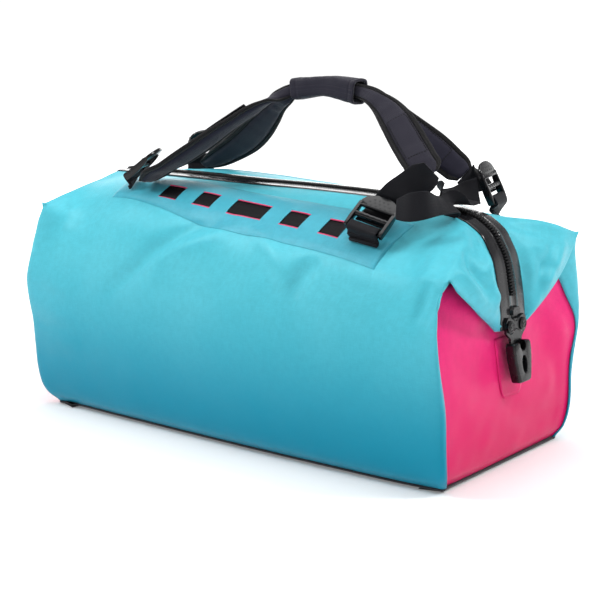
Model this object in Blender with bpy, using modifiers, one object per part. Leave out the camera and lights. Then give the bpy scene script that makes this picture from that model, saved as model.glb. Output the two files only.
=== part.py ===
"""Waterproof duffel bag: zip over the top and down both folded ends, padded straps brought together in a grip.

Metres, +Z up, +X to the right end, -Y to the front. The origin is the middle of the floor panel's underside.
"""

import math

import bpy
import numpy as np

for old in list(bpy.data.objects):
    bpy.data.objects.remove(old, do_unlink=True)

# Driving sizes
LENGTH = 0.61        # ear to ear
HALF_WIDTH = 0.152   # middle to the flank's belly
HEIGHT = 0.286       # floor to the zip
WALL = 0.0016        # coated fabric
GAP = 0.0004         # between neighbouring pieces
BASE_T = 0.0042
TAPE_W, TAPE_T = 0.051, 0.0014
RIB_W, RIB_T = 0.0085, 0.0020
WEB_W, WEB_T = 0.038, 0.0018
PAD_T = 0.0095

HALF = {"front": -1.0, "rear": 1.0}
END = {"left": -1.0, "right": 1.0}

# The half girth at mid length, from floor seam to zip: y as a share of HALF_WIDTH, z of HEIGHT
GIRTH = np.array([
    (0.842, 0.016),  # floor seam
    (0.928, 0.063),
    (0.974, 0.175),
    (1.000, 0.315),
    (1.000, 0.455),
    (0.974, 0.594),
    (0.921, 0.717),
    (0.836, 0.822),  # the row that runs into the ears
    (0.697, 0.897),
    (0.526, 0.948),
    (0.342, 0.978),
    (0.191, 0.989),  # beside the tape
    (0.125, 0.989),  # under the tape
])
EAR_ROW, LAST_ROW = 7, 12

# Sections along the length: x as a share of half LENGTH, width factor, then how far each shoulder drops, as a share of HEIGHT
SECTIONS = [
    # x,    width, front, rear
    (-0.84, 0.985, 0.014, 0.010),
    (-0.52, 0.998, -0.030, -0.020),
    (-0.16, 1.010, -0.010, -0.016),
    (0.20, 1.012, 0.022, 0.004),
    (0.50, 1.000, 0.040, 0.010),
    (0.76, 0.985, 0.044, 0.014),
]
DROP = np.interp(np.arange(13), [4, 7, 8.5, 10, 11, 12], [0, 0.45, 1, 0.7, 0, 0])

# The zip's outer line at y = 0: x as a share of half LENGTH, z of HEIGHT
ZIP_TOP = [(-0.86, 0.997), (-0.62, 1.0), (0.0, 1.0), (0.42, 1.0), (0.60, 0.985), (0.75, 0.962), (0.83, 0.943)]
ZIP_DOWN = {
    "right": [(0.862, 0.923), (0.898, 0.892), (0.921, 0.853), (0.941, 0.815), (0.954, 0.773), (0.964, 0.720),
              (0.974, 0.660), (0.980, 0.605), (0.983, 0.545)],
    "left": [(0.885, 0.978), (0.923, 0.948), (0.949, 0.902), (0.967, 0.850), (0.980, 0.793), (0.987, 0.734),
             (0.993, 0.675), (0.997, 0.620), (0.999, 0.555)],
}

# Ear edges, floor seam to ear tip, one row for each girth row: shares of half LENGTH, HALF_WIDTH and HEIGHT
EARS = {
    ("right", "rear"): [(0.955, 0.790, 0.016), (0.980, 0.862, 0.066), (0.988, 0.905, 0.175), (0.990, 0.900, 0.330),
                        (1.002, 0.955, 0.480), (1.005, 0.955, 0.600), (1.003, 0.925, 0.730), (0.998, 0.880, 0.850)],
    ("right", "front"): [(0.950, 0.800, 0.016), (0.975, 0.875, 0.066), (0.988, 0.930, 0.175), (0.990, 0.955, 0.330),
                         (1.000, 1.010, 0.480), (0.992, 1.000, 0.600), (0.984, 0.950, 0.710), (0.984, 0.868, 0.797)],
    ("left", "front"): [(0.890, 0.850, 0.016), (0.940, 0.925, 0.066), (0.970, 0.950, 0.175), (0.978, 0.955, 0.320),
                        (1.008, 0.960, 0.450), (1.026, 0.965, 0.555), (0.985, 0.930, 0.720), (0.933, 0.888, 0.890)],
    ("left", "rear"): [(0.900, 0.840, 0.016), (0.945, 0.910, 0.066), (0.970, 0.945, 0.175), (0.978, 0.950, 0.320),
                       (1.005, 0.955, 0.450), (1.018, 0.960, 0.550), (0.988, 0.925, 0.715), (0.940, 0.885, 0.875)],
}

# The seam to the end panel, inboard of each ear row: x, y, z steps from the ear edge as shares of HEIGHT
LAPS = {
    "open": [(0.004, -0.028, 0.0), (0.004, -0.028, 0.0), (0.003, -0.028, 0.0), (0.002, -0.028, 0.0),
             (-0.004, -0.034, 0.0), (-0.035, -0.088, 0.008), (-0.056, -0.125, -0.010), (-0.060, -0.125, -0.072)],
    "tucked": [(0.004, -0.028, 0.0), (0.004, -0.028, 0.0), (0.003, -0.028, 0.0), (0.000, -0.030, 0.0),
               (-0.030, -0.045, 0.0), (-0.070, -0.060, 0.008), (-0.085, -0.075, 0.010), (-0.075, -0.100, -0.050)],
}
LAP_KIND = {("right", "rear"): "open", ("right", "front"): "tucked",
            ("left", "front"): "tucked", ("left", "rear"): "open"}

# How far the fold line bows up between ear tip and zip, as a share of HEIGHT
RIDGE_BOW = {"right": 0.014, "left": -0.008}

# End panel: how far it stands out at each girth row in the middle, as a share of half LENGTH
END_BELLY = [0.950, 0.972, 0.984, 0.978, 0.958, 0.940, 0.918, 0.885]


def through(knots, values, at):
    """A smooth curve through the values at the knots."""
    knots, values, at = np.asarray(knots, float), np.asarray(values, float), np.asarray(at, float)
    step = np.diff(knots)
    slope = np.diff(values, axis=0) / step.reshape(-1, *[1] * (values.ndim - 1))
    tangent = np.zeros_like(values)
    tangent[0], tangent[-1] = slope[0], slope[-1]
    if len(knots) > 2:
        share = (step[1:] / (step[1:] + step[:-1])).reshape(-1, *[1] * (values.ndim - 1))
        tangent[1:-1] = slope[:-1] * share + slope[1:] * (1 - share)
    cell = np.clip(np.searchsorted(knots, at, side="right") - 1, 0, len(step) - 1)
    h = step[cell]
    s = (at - knots[cell]) / h
    shape = (-1, *[1] * (values.ndim - 1))
    s, h = s.reshape(shape), h.reshape(shape)
    return ((1 + 2 * s) * (1 - s) ** 2 * values[cell] + s * (1 - s) ** 2 * h * tangent[cell]
            + s * s * (3 - 2 * s) * values[cell + 1] + s * s * (s - 1) * h * tangent[cell + 1])


def unit(v):
    v = np.asarray(v, float)
    return v / np.maximum(np.linalg.norm(v, axis=-1, keepdims=True), 1e-12)


def zip_height(x):
    table = [(a, b) for a, b in ZIP_TOP]
    return through([a for a, _ in table], [b for _, b in table], np.atleast_1d(x) / (LENGTH / 2)) * HEIGHT


def zip_end(end, share):
    """Points of the zip's outer line down one end, from the ridge (0) to its foot (1), with outward normals."""
    first = ZIP_TOP[-1] if end == "right" else (-ZIP_TOP[0][0], ZIP_TOP[0][1])
    line = np.array([first, *ZIP_DOWN[end]]) * (LENGTH / 2, HEIGHT)
    run = np.concatenate([[0], np.cumsum(np.linalg.norm(np.diff(line, axis=0), axis=1))])
    run /= run[-1]
    at = np.asarray(share, float)
    points = through(run, line, at)
    ahead = through(run, line, np.clip(at + 0.01, 0, 1)) - through(run, line, np.clip(at - 0.01, 0, 1))
    normal = unit(np.stack([-ahead[:, 1], ahead[:, 0]], axis=1) * (1, 1))
    normal = -normal if normal[-1, 0] < 0 else normal
    zero = np.zeros(len(at))
    side = END[end]
    return (np.stack([points[:, 0] * side, zero, points[:, 1]], axis=1),
            np.stack([normal[:, 0] * side, zero, normal[:, 1]], axis=1))


UNDER = TAPE_T + GAP  # how far the panels lie under the tape's outer face


def ear(end, half, rows):
    table = np.array(EARS[end, half]) * (LENGTH / 2, HALF_WIDTH, HEIGHT) * (END[end], HALF[half], 1)
    return through(np.arange(EAR_ROW + 1), table, rows)


def ridge(end, half, rows):
    """The line where the top turns down into the flap, from ear tip to zip."""
    tip = ear(end, half, [EAR_ROW])[0]
    top, normal = zip_end(end, [0.0])
    foot = top[0] - normal[0] * UNDER
    y = through(np.arange(LAST_ROW + 1), GIRTH[:, 0], rows) * HALF_WIDTH
    out = np.abs(tip[1])
    beside = GIRTH[11, 0] * HALF_WIDTH
    share = np.clip((GIRTH[EAR_ROW, 0] * HALF_WIDTH - y) / (GIRTH[EAR_ROW, 0] * HALF_WIDTH - beside), 0, None)
    bow = np.sin(math.pi * np.clip(share, 0, 1))
    x = tip[0] + (foot[0] - tip[0]) * np.clip(share, 0, 1) + END[end] * bow * 0.006
    z = tip[2] + (foot[2] - tip[2]) * np.clip(share, 0, 1) + bow * RIDGE_BOW[end] * HEIGHT
    across = np.where(share <= 1, out + (beside - out) * share, y)
    return np.stack([x, HALF[half] * across, z], axis=1)


def section(x_share, width, drop, half, rows):
    """One cross-section of the half girth."""
    x = x_share * LENGTH / 2
    top = zip_height(x)[0] - UNDER
    plain = GIRTH * (HALF_WIDTH, HEIGHT)
    lift = np.clip((plain[:, 1] - plain[4, 1]) / (plain[-1, 1] - plain[4, 1]), 0, 1)
    z = plain[:, 1] + lift * (top - plain[-1, 1]) - DROP * drop * HEIGHT
    y = np.where(np.arange(13) < 11, plain[:, 0] * width, plain[:, 0])
    line = np.stack([np.full(13, x), HALF[half] * y, z], axis=1)
    return through(np.arange(13), line, rows)


def main_grid(half, rows, columns):
    """The panel between its ear edges: rows from floor seam to zip, columns 0 to 1 from left to right."""
    rows = np.asarray(rows, float)
    low = rows[rows < EAR_ROW]
    high = rows[rows >= EAR_ROW]
    ends = {e: np.concatenate([ear(e, half, low), ridge(e, half, high)]) for e in END}
    drops = [s[2] if half == "front" else s[3] for s in SECTIONS]
    lines = [ends["left"]]
    lines += [section(s[0], s[1], d, half, rows) for s, d in zip(SECTIONS, drops)]
    lines += [ends["right"]]
    knots = [0, *[(s[0] + 1) / 2 for s in SECTIONS], 1]
    return np.moveaxis(through(knots, np.array(lines), columns), 0, 1)


def flap_grid(end, half, rows, shares):
    """The flap that folds over the end: its first column is the ridge, its last the zip's foot."""
    rows, shares = np.asarray(rows, float), np.asarray(shares, float)
    tip = ear(end, half, [EAR_ROW])[0]
    outer, normal = zip_end(end, shares)
    under = outer - normal * UNDER
    foot = under[-1] + (0, HALF[half] * 0.0275, 0)
    # The lower edge runs from ear tip to the zip's foot, a little hollow
    edge = tip + (foot - tip) * shares[:, None]
    edge[:, 2] -= np.sin(math.pi * shares) * 0.004
    edge[:, 0] += END[end] * np.sin(math.pi * shares) * 0.006
    start = ridge(end, half, rows)
    beside = GIRTH[11, 0] * HALF_WIDTH
    inner = GIRTH[12, 0] * HALF_WIDTH
    grid = np.zeros((len(rows), len(shares), 3))
    for i, row in enumerate(rows):
        tip_y, row_y = abs(tip[1]), abs(start[i, 1])
        s = np.clip((tip_y - row_y) / (tip_y - beside), 0, 1)
        y_beside = beside + (0.0275 - beside) * shares
        side = under + np.stack([np.zeros_like(shares), HALF[half] * y_beside, np.zeros_like(shares)], axis=1)
        line = edge + (side - edge) * s
        puff = math.sin(math.pi * s) * np.sin(math.pi * np.clip(shares, 0, 1)) * 0.010
        line[:, 0] += END[end] * puff
        if row > 11:
            y_in = inner + (0.016 - inner) * shares
            y_mix = y_beside + (y_in - y_beside) * (row - 11)
            line = under.copy()
            line[:, 1] = HALF[half] * y_mix
        # Meet the ridge exactly, then let go of it
        line = line + (start[i] - line[0]) * np.clip(1 - shares / 0.5, 0, 1)[:, None] ** 1.5
        grid[i] = line
    return grid


def lap_grid(end, half, rows, shares):
    """The return inboard of the ear edge, to the seam of the end panel."""
    edge = ear(end, half, rows)
    steps = np.array(LAPS[LAP_KIND[end, half]]) * HEIGHT * (END[end], HALF[half], 1)
    seam = edge + through(np.arange(EAR_ROW + 1), steps, rows)
    grid = edge[:, None] + (seam - edge)[:, None] * np.asarray(shares)[None, :, None]
    round_out = np.sin(math.pi * np.asarray(shares)) * 0.0015
    grid[:, :, 0] += END[end] * round_out
    return grid


def mesh_object(name, points, faces):
    mesh = bpy.data.meshes.new(name)
    mesh.from_pydata([tuple(map(float, p)) for p in points], [], [tuple(map(int, f)) for f in faces])
    obj = bpy.data.objects.new(name, mesh)
    bpy.context.scene.collection.objects.link(obj)
    return obj


def welded(points, faces):
    keys, index, kept = {}, [], []
    for p in points:
        key = tuple(np.round(np.asarray(p) * 1e6).astype(int))
        if key not in keys:
            keys[key] = len(kept)
            kept.append(p)
        index.append(keys[key])
    out = []
    for face in faces:
        loop = []
        for v in (index[i] for i in face):
            if v not in loop:
                loop.append(v)
        if len(loop) > 2:
            out.append(loop)
    return kept, out


def quads(grid, keep=None, flip=False, start=0):
    rows, columns = grid.shape[:2]
    faces = []
    for i in range(rows - 1):
        for j in range(columns - 1):
            if keep is not None and not keep(i, j):
                continue
            a = start + i * columns + j
            loop = (a, a + 1, a + 1 + columns, a + columns)
            faces.append(loop[::-1] if flip else loop)
    return faces


def sheet(name, grids, thick, keep=None):
    """One cloth piece: the grids joined where their edges meet, thickened inwards. Each is (points, flip)."""
    points, faces = [], []
    for grid, flip in grids:
        faces += quads(grid, keep, flip, len(points))
        points += list(grid.reshape(-1, 3))
    points, faces = welded(points, faces)
    obj = mesh_object(name, points, faces)
    modifier = obj.modifiers.new("Solidify", "SOLIDIFY")
    modifier.thickness = thick
    modifier.offset = -1
    modifier.use_even_offset = False
    return obj


ROWS = np.array([0, 1, 2, 3, 4, 5, 6, 6.5, 7, 8, 9, 10, 11, 12], float)
COLUMNS = np.array([0, 0.03, 0.08, 0.15, 0.22, 0.30, 0.38, 0.46, 0.54, 0.62, 0.70, 0.78, 0.85, 0.92, 0.97, 1.0])
FLAP = np.array([0, 0.09, 0.2, 0.33, 0.48, 0.62, 0.74, 0.86, 1.0])
LAP = np.array([0, 0.35, 0.7, 1.0])
LOW, HIGH = ROWS[ROWS <= EAR_ROW], ROWS[ROWS >= EAR_ROW]

MAIN = {half: main_grid(half, ROWS, COLUMNS) for half in HALF}
FLAPS = {(e, h): flap_grid(e, h, HIGH, FLAP) for e in END for h in HALF}
RETURNS = {(e, h): lap_grid(e, h, LOW, LAP) for e in END for h in HALF}


def hem(end, half):
    """The flap's lower edge, rolled under."""
    grid = FLAPS[end, half]
    edge, inward = grid[0], unit(grid[2] - grid[0])
    deep = np.clip(FLAP * 6, 0, 1)[:, None]
    x = np.array([END[end], 0, 0])
    lines = [edge]
    for back, up in ((0.0018, -0.0010), (0.0040, 0.0015), (0.0046, 0.0090)):
        lines.append(edge - x * back * deep + inward * up * deep)
    return np.array(lines[::-1])


for half, side in HALF.items():
    flip = half == "rear"
    pieces = [(MAIN[half], flip)]
    for end in END:
        turn = flip if end == "right" else not flip
        pieces.append((FLAPS[end, half], turn))
        pieces.append((RETURNS[end, half], turn))
        pieces.append((hem(end, half), turn))
    sheet(f"side_{half}", pieces, WALL)


def end_panel(end):
    """The end panel, lapped behind the returns of both side panels."""
    side = END[end]
    lines = []
    under = {}
    for half in HALF:
        lap = RETURNS[end, half]
        inward = unit(lap[:, -1] - lap[:, -2])
        up = unit(np.gradient(lap[:, -1], axis=0))
        normal = np.cross(inward, up)
        normal *= np.sign(normal[:, :1]) * side
        under[half] = -unit(normal) * (WALL + GAP + 0.0008)
    for i, row in enumerate(LOW):
        f, r = RETURNS[end, "front"][i], RETURNS[end, "rear"][i]
        out_f, out_r = unit(f[-2] - f[-1]), unit(r[-2] - r[-1])
        start = [f[-1] + out_f * 0.004 + under["front"][i], f[-1] - out_f * 0.003 + under["front"][i]]
        stop = [r[-1] - out_r * 0.003 + under["rear"][i], r[-1] + out_r * 0.004 + under["rear"][i]]
        belly = through(np.arange(EAR_ROW + 1), END_BELLY, [row])[0] * LENGTH / 2 * side
        a, b = start[-1], stop[0]
        middle = []
        for s in (0.12, 0.27, 0.42, 0.58, 0.73, 0.88):
            p = a + (b - a) * s
            hold = min(1, math.sin(math.pi * s) * 1.6)
            p[0] += (belly - p[0]) * hold
            middle.append(p)
        lines.append(start + middle + stop)
    grid = np.array(lines)
    return grid


ENDS = {end: end_panel(end) for end in END}
for end, grid in ENDS.items():
    sheet(f"end_{end}", [(grid, end == "left")], WALL)


def outline_solid(name, loops):
    """A solid through stacked closed outlines of equal length, capped at both ends."""
    n = len(loops[0])
    points = [p for loop in loops for p in loop]
    faces = []
    for k in range(len(loops) - 1):
        for i in range(n):
            j = (i + 1) % n
            faces.append((k * n + i, k * n + j, (k + 1) * n + j, (k + 1) * n + i))
    faces.append(tuple(range(n))[::-1])
    faces.append(tuple((len(loops) - 1) * n + i for i in range(n)))
    co = np.array(points, float) - np.mean(points, axis=0)
    volume = sum(np.dot(co[f[0]], np.cross(co[f[k]], co[f[k + 1]])) for f in faces for k in range(1, len(f) - 1))
    return mesh_object(name, points, faces if volume > 0 else [f[::-1] for f in faces])


def floor_outline(inset, z):
    """The floor seam seen from above, drawn in by inset."""
    front, rear = MAIN["front"][0], MAIN["rear"][0]
    f_in = [RETURNS[e, "front"][0] for e in ("left", "right")]
    r_in = [RETURNS[e, "rear"][0] for e in ("left", "right")]
    line = [*front, *f_in[1][1:], *r_in[1][::-1][:-1], *rear[::-1], *r_in[0][1:], *f_in[0][::-1][:-1]]
    loop = np.array(line)[:, :2]
    centre = loop.mean(axis=0)
    ahead = np.roll(loop, -1, axis=0) - np.roll(loop, 1, axis=0)
    normal = unit(np.stack([ahead[:, 1], -ahead[:, 0]], axis=1))
    normal *= np.sign(((loop - centre) * normal).sum(axis=1, keepdims=True))
    loop = loop - normal * inset
    return [(x, y, z) for x, y in loop]


outline_solid("base", [floor_outline(0.006, 0.0), floor_outline(0.0015, 0.0012), floor_outline(0.0002, BASE_T - 0.0004),
                       floor_outline(0.0016, BASE_T)])


def zip_line(lift):
    """The zip's whole line over the top and down both ends, lifted off the panel's edge row."""
    left = FLAPS["left", "front"][-1][::-1]
    right = FLAPS["right", "front"][-1]
    line = np.concatenate([left[:-1], MAIN["front"][-1], right[1:]])
    line[:, 1] = 0
    ahead = np.gradient(line, axis=0)
    normal = unit(np.stack([-ahead[:, 2], np.zeros(len(line)), ahead[:, 0]], axis=1))
    return line + normal * lift, normal


def ribbon(name, centres, across, widths, normals, thicks, profile="flat"):
    """A strip swept along a line: width along `across`, thickness along `normals`."""
    if profile == "flat":
        shape = [(-1, -1), (1, -1), (1, 1), (-1, 1)]
    else:
        shape = [(-1, -0.45), (-0.86, -0.80), (-0.45, -1), (0.45, -1), (0.86, -0.80), (1, -0.45),
                 (1, 0.45), (0.86, 0.80), (0.45, 1), (-0.45, 1), (-0.86, 0.80), (-1, 0.45)]
    loops = []
    for c, a, w, n, t in zip(centres, across, widths, normals, thicks):
        loops.append([c + a * (u * w / 2) + n * (v * t / 2) for u, v in shape])
    return outline_solid(name, loops)


Y = np.array([0.0, 1.0, 0.0])
line, normal = zip_line(GAP + TAPE_T / 2)
count = len(line)
ribbon("zip_tape", line, [-Y] * count, [TAPE_W] * count, normal, [TAPE_T] * count)
line, normal = zip_line(GAP + TAPE_T + GAP + RIB_T / 2)
keep = slice(2, -2)
count = len(line[keep])
ribbon("zip_teeth", line[keep], [-Y] * count, [RIB_W] * count, normal[keep], [RIB_T] * count)


def frame(origin, along, across):
    """A local frame: width u, length v, height h, with h = u x v."""
    v = unit(along)
    u = unit(np.asarray(across, float) - v * np.dot(across, v))
    h = np.cross(u, v)
    origin = np.asarray(origin, float)
    return lambda p: origin + u * p[0] + v * p[1] + h * p[2]


def block(name, place, u, v, h):
    """A box between the given limits of a local frame."""
    loops = [[place((a, b, c)) for a, b in ((u[0], v[0]), (u[1], v[0]), (u[1], v[1]), (u[0], v[1]))] for c in h]
    return outline_solid(name, loops)


def plate(name, place, outline, h, taper=0.0):
    """An outline in u and v, extruded over h, with its far face drawn in by taper."""
    outline = np.asarray(outline, float)
    centre = outline.mean(axis=0)
    small = centre + (outline - centre) * (1 - taper)
    return outline_solid(name, [[place((a, b, h[0])) for a, b in outline], [place((a, b, h[1])) for a, b in small]])


def rod(name, place, u, v, h, radius, sides=12):
    """A round bar across a local frame, from u[0] to u[1]."""
    turn = [2 * math.pi * k / sides for k in range(sides)]
    return outline_solid(name, [[place((a, v + radius * math.cos(t), h + radius * math.sin(t))) for t in turn] for a in u])


def disc(name, place, u, v, h, radius, sides=16, dome=0.0):
    turn = [2 * math.pi * k / sides for k in range(sides)]
    loops = [[place((u + radius * math.cos(t), v + radius * math.sin(t), c)) for t in turn] for c in h]
    if dome:
        loops.append([place((u + radius * 0.7 * math.cos(t), v + radius * 0.7 * math.sin(t), h[-1] + dome)) for t in turn])
    return outline_solid(name, loops)


def joined(base, others, operation="UNION"):
    for other in others:
        other.hide_render = True
        other.hide_viewport = False
        modifier = base.modifiers.new(other.name, "BOOLEAN")
        modifier.operation = operation
        modifier.solver = "EXACT"
        modifier.object = other
    return base


def between(grid, i, j):
    """A point of a grid at fractional row and column."""
    a, b = int(min(i, grid.shape[0] - 1.001)), int(min(j, grid.shape[1] - 1.001))
    s, t = i - a, j - b
    return (grid[a, b] * (1 - s) * (1 - t) + grid[a + 1, b] * s * (1 - t)
            + grid[a, b + 1] * (1 - s) * t + grid[a + 1, b + 1] * s * t)


def on_side(half, x, run):
    """A point of a side panel's outer face and its normal: x, and the distance down the panel from the zip's middle."""
    grid = MAIN[half]
    column = np.interp(x, grid[-2, :, 0], np.arange(len(COLUMNS)))

    def walk(c):
        line = np.array([between(grid, i, c) for i in range(len(ROWS))])[::-1]
        far = np.concatenate([[0], np.cumsum(np.linalg.norm(np.diff(line, axis=0), axis=1))]) + abs(line[0, 1])
        return np.array([np.interp(run, far, line[:, k]) for k in range(3)]), np.interp(run, far, np.arange(len(ROWS)))

    point, row = walk(column)
    low, high = max(row - 0.3, 0), min(row + 0.3, len(ROWS) - 1.01)
    down = between(grid, len(ROWS) - 1 - low, column) - between(grid, len(ROWS) - 1 - high, column)
    along = between(grid, len(ROWS) - 1 - row, min(column + 0.2, len(COLUMNS) - 1.01)) - between(
        grid, len(ROWS) - 1 - row, max(column - 0.2, 0))
    normal = unit(np.cross(along, down) * -HALF[half])
    return point, normal if normal[2] > 0 else -normal


# Daisy chain: windows of the welded patch as x centre and length, shares of half LENGTH
WINDOWS = [(-0.354, 0.090), (-0.178, 0.090), (0.033, 0.165), (0.248, 0.090), (0.426, 0.090)]
PATCH_X = (-0.66, 0.68)
# Its rows: how far down from the zip's middle at the left and right ends, and how far its underside stands off
PATCH_ROWS = [
    # left, right, stand-off
    (0.056, 0.056, 0.0005),
    (0.067, 0.074, 0.0014),
    (0.077, 0.089, 0.0027),
    (0.090, 0.102, 0.0028),
    (0.103, 0.115, 0.0027),
    (0.000, 0.000, 0.0014),
    (0.000, 0.000, 0.0005),
]
PATCH_EDGE = [(-0.66, 0.1045), (-0.354, 0.117), (-0.15, 0.129), (0.68, 0.137)]
PATCH_T, CHAIN_T = 0.0008, 0.0010


def patch_run(i, x):
    """How far row i of the patch runs down the panel at x."""
    share = x / (LENGTH / 2)
    inner = [np.interp(share, PATCH_X, row[:2]) for row in PATCH_ROWS]
    edge = np.interp(share, *zip(*PATCH_EDGE))
    return {5: (inner[4] + edge) / 2, 6: edge}.get(i, inner[i])


def lifted(half, xs, rows, lift):
    grid = []
    for i in rows:
        pairs = [on_side(half, x, patch_run(i, x)) for x in xs]
        grid.append([point + normal * lift(i) for point, normal in pairs])
    return np.array(grid)


cuts = sorted({PATCH_X[0], PATCH_X[1], -0.58, -0.49, 0.51, 0.60,
               *[round(c + s * w / 2, 4) for c, w in WINDOWS for s in (-1, 1)]})
for half in HALF:
    grid = lifted(half, [c * LENGTH / 2 for c in cuts], range(7), lambda i: PATCH_ROWS[i][2] + PATCH_T)
    holes = {j for j in range(len(cuts) - 1)
             if any(abs((cuts[j] + cuts[j + 1]) / 2 - c) < 0.01 for c, _ in WINDOWS)}
    sheet(f"patch_{half}", [(grid, half == "front")], PATCH_T, keep=lambda i, j: not (i in (2, 3) and j in holes))
    inner = [c for c in cuts if PATCH_X[0] < c < PATCH_X[1]]
    grid = lifted(half, [c * LENGTH / 2 for c in inner], (2, 3, 4), lambda i: PATCH_ROWS[i][2] - GAP)
    sheet(f"daisy_chain_{half}", [(grid, half == "front")], CHAIN_T)

# Ladder locks: middle of the lower bar, then the directions along the webbing and across it
LOCKS = {
    "front_right": ((0.586, -0.700, 0.926), (0.05, 0.80, 0.60), (0.92, -0.10, -0.38)),
    "rear_right": ((0.746, 0.530, 0.979), (-0.42, -0.12, 0.90), (-0.05, 0.95, -0.28)),
    "front_left": ((-0.577, -0.553, 1.028), (0.71, 0.32, 0.63), (0.51, -0.86, 0.06)),
    "rear_left": ((-0.720, 0.570, 1.030), (0.55, -0.25, 0.79), (-0.55, -0.83, 0.0)),
}
LOCK_W, LOCK_L, BAR_R, ROLLER_R = 0.046, 0.044, 0.0026, 0.0032
ROLLER_V, ROLLER_H = 0.0145, 0.0008

# How far each foot of webbing stands off the panel, over the patch where there is one
FOOT_RISE = {"front_right": 0.0048, "rear_right": 0.0008, "front_left": 0.0044, "rear_left": 0.0008}

PLACES = {}
for name, (origin, along, across) in LOCKS.items():
    place = frame(np.array(origin) * (LENGTH / 2, HALF_WIDTH, HEIGHT), along, across)
    PLACES[name] = place
    half = LOCK_W / 2
    rail = block(f"ladder_lock_{name}", place, (-half, -half + 0.0034), (-0.005, 0.030), (-0.0038, 0.0042))
    tab = [(-half + 0.001, 0.026), (half - 0.001, 0.026)]
    tab += [((half - 0.001) * math.cos(t), 0.031 + (LOCK_L - 0.031) * math.sin(t)) for t in
            [k * math.pi / 8 for k in range(9)]]
    joined(rail, [
        block("rail", place, (half - 0.0034, half), (-0.005, 0.030), (-0.0038, 0.0042)),
        rod("lower_bar", place, (-half + 0.001, half - 0.001), 0.0, 0.0, BAR_R),
        rod("roller", place, (-half + 0.001, half - 0.001), ROLLER_V, ROLLER_H, ROLLER_R),
        plate("tab", place, tab, (0.0004, 0.0036)),
    ])

# Webbing from each lock down to the bag, a flat loop around the lower bar
for name, place in PLACES.items():
    half_name = name.split("_")[0]
    bar = place((0, 0, 0))
    u = unit(place((1, 0, 0)) - bar)
    ring = BAR_R + 0.0005 + WEB_T / 2
    loop = [(-0.006, -ring), (0.0, -ring), (ring * 0.72, -ring * 0.72), (ring, 0.0), (ring * 0.72, ring * 0.72),
            (0.0, ring), (-0.006, ring)]
    path = [place((0, v, h)) for v, h in loop]
    # The foot lies on the patch, straight below the bar
    below = min(np.arange(0.04, 0.15, 0.002), key=lambda run: np.linalg.norm(on_side(half_name, bar[0], run)[0] - place((0, -0.0065, 0))))
    point, up = on_side(half_name, bar[0], below)
    flat_u = unit(u - up * np.dot(u, up))
    away = np.cross(flat_u, up)
    away = away if np.dot(away, place((0, -1, 0)) - bar) > 0 else -away
    rise = FOOT_RISE[name] + WEB_T / 2
    low = [point + away * 0.008 + up * rise, point + away * 0.001 + up * rise]
    high = [p + up * (WEB_T + GAP) for p in low[::-1]]
    if np.dot(place((0, 0, 1)) - bar, away) < 0:
        low, high = [p + up * 0 for p in high[::-1]], low[::-1]
    path = np.array([*low, *path, *high])
    ahead = unit(np.gradient(path, axis=0))
    side = np.array([flat_u] * 2 + [u] * (len(path) - 4) + [flat_u] * 2)
    side = unit(side - ahead * (ahead * side).sum(axis=1, keepdims=True))
    normal = np.cross(side, ahead)
    ribbon(f"anchor_{name}", path, side, [WEB_W - 0.0025] * len(path), normal, [WEB_T] * len(path))

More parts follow.
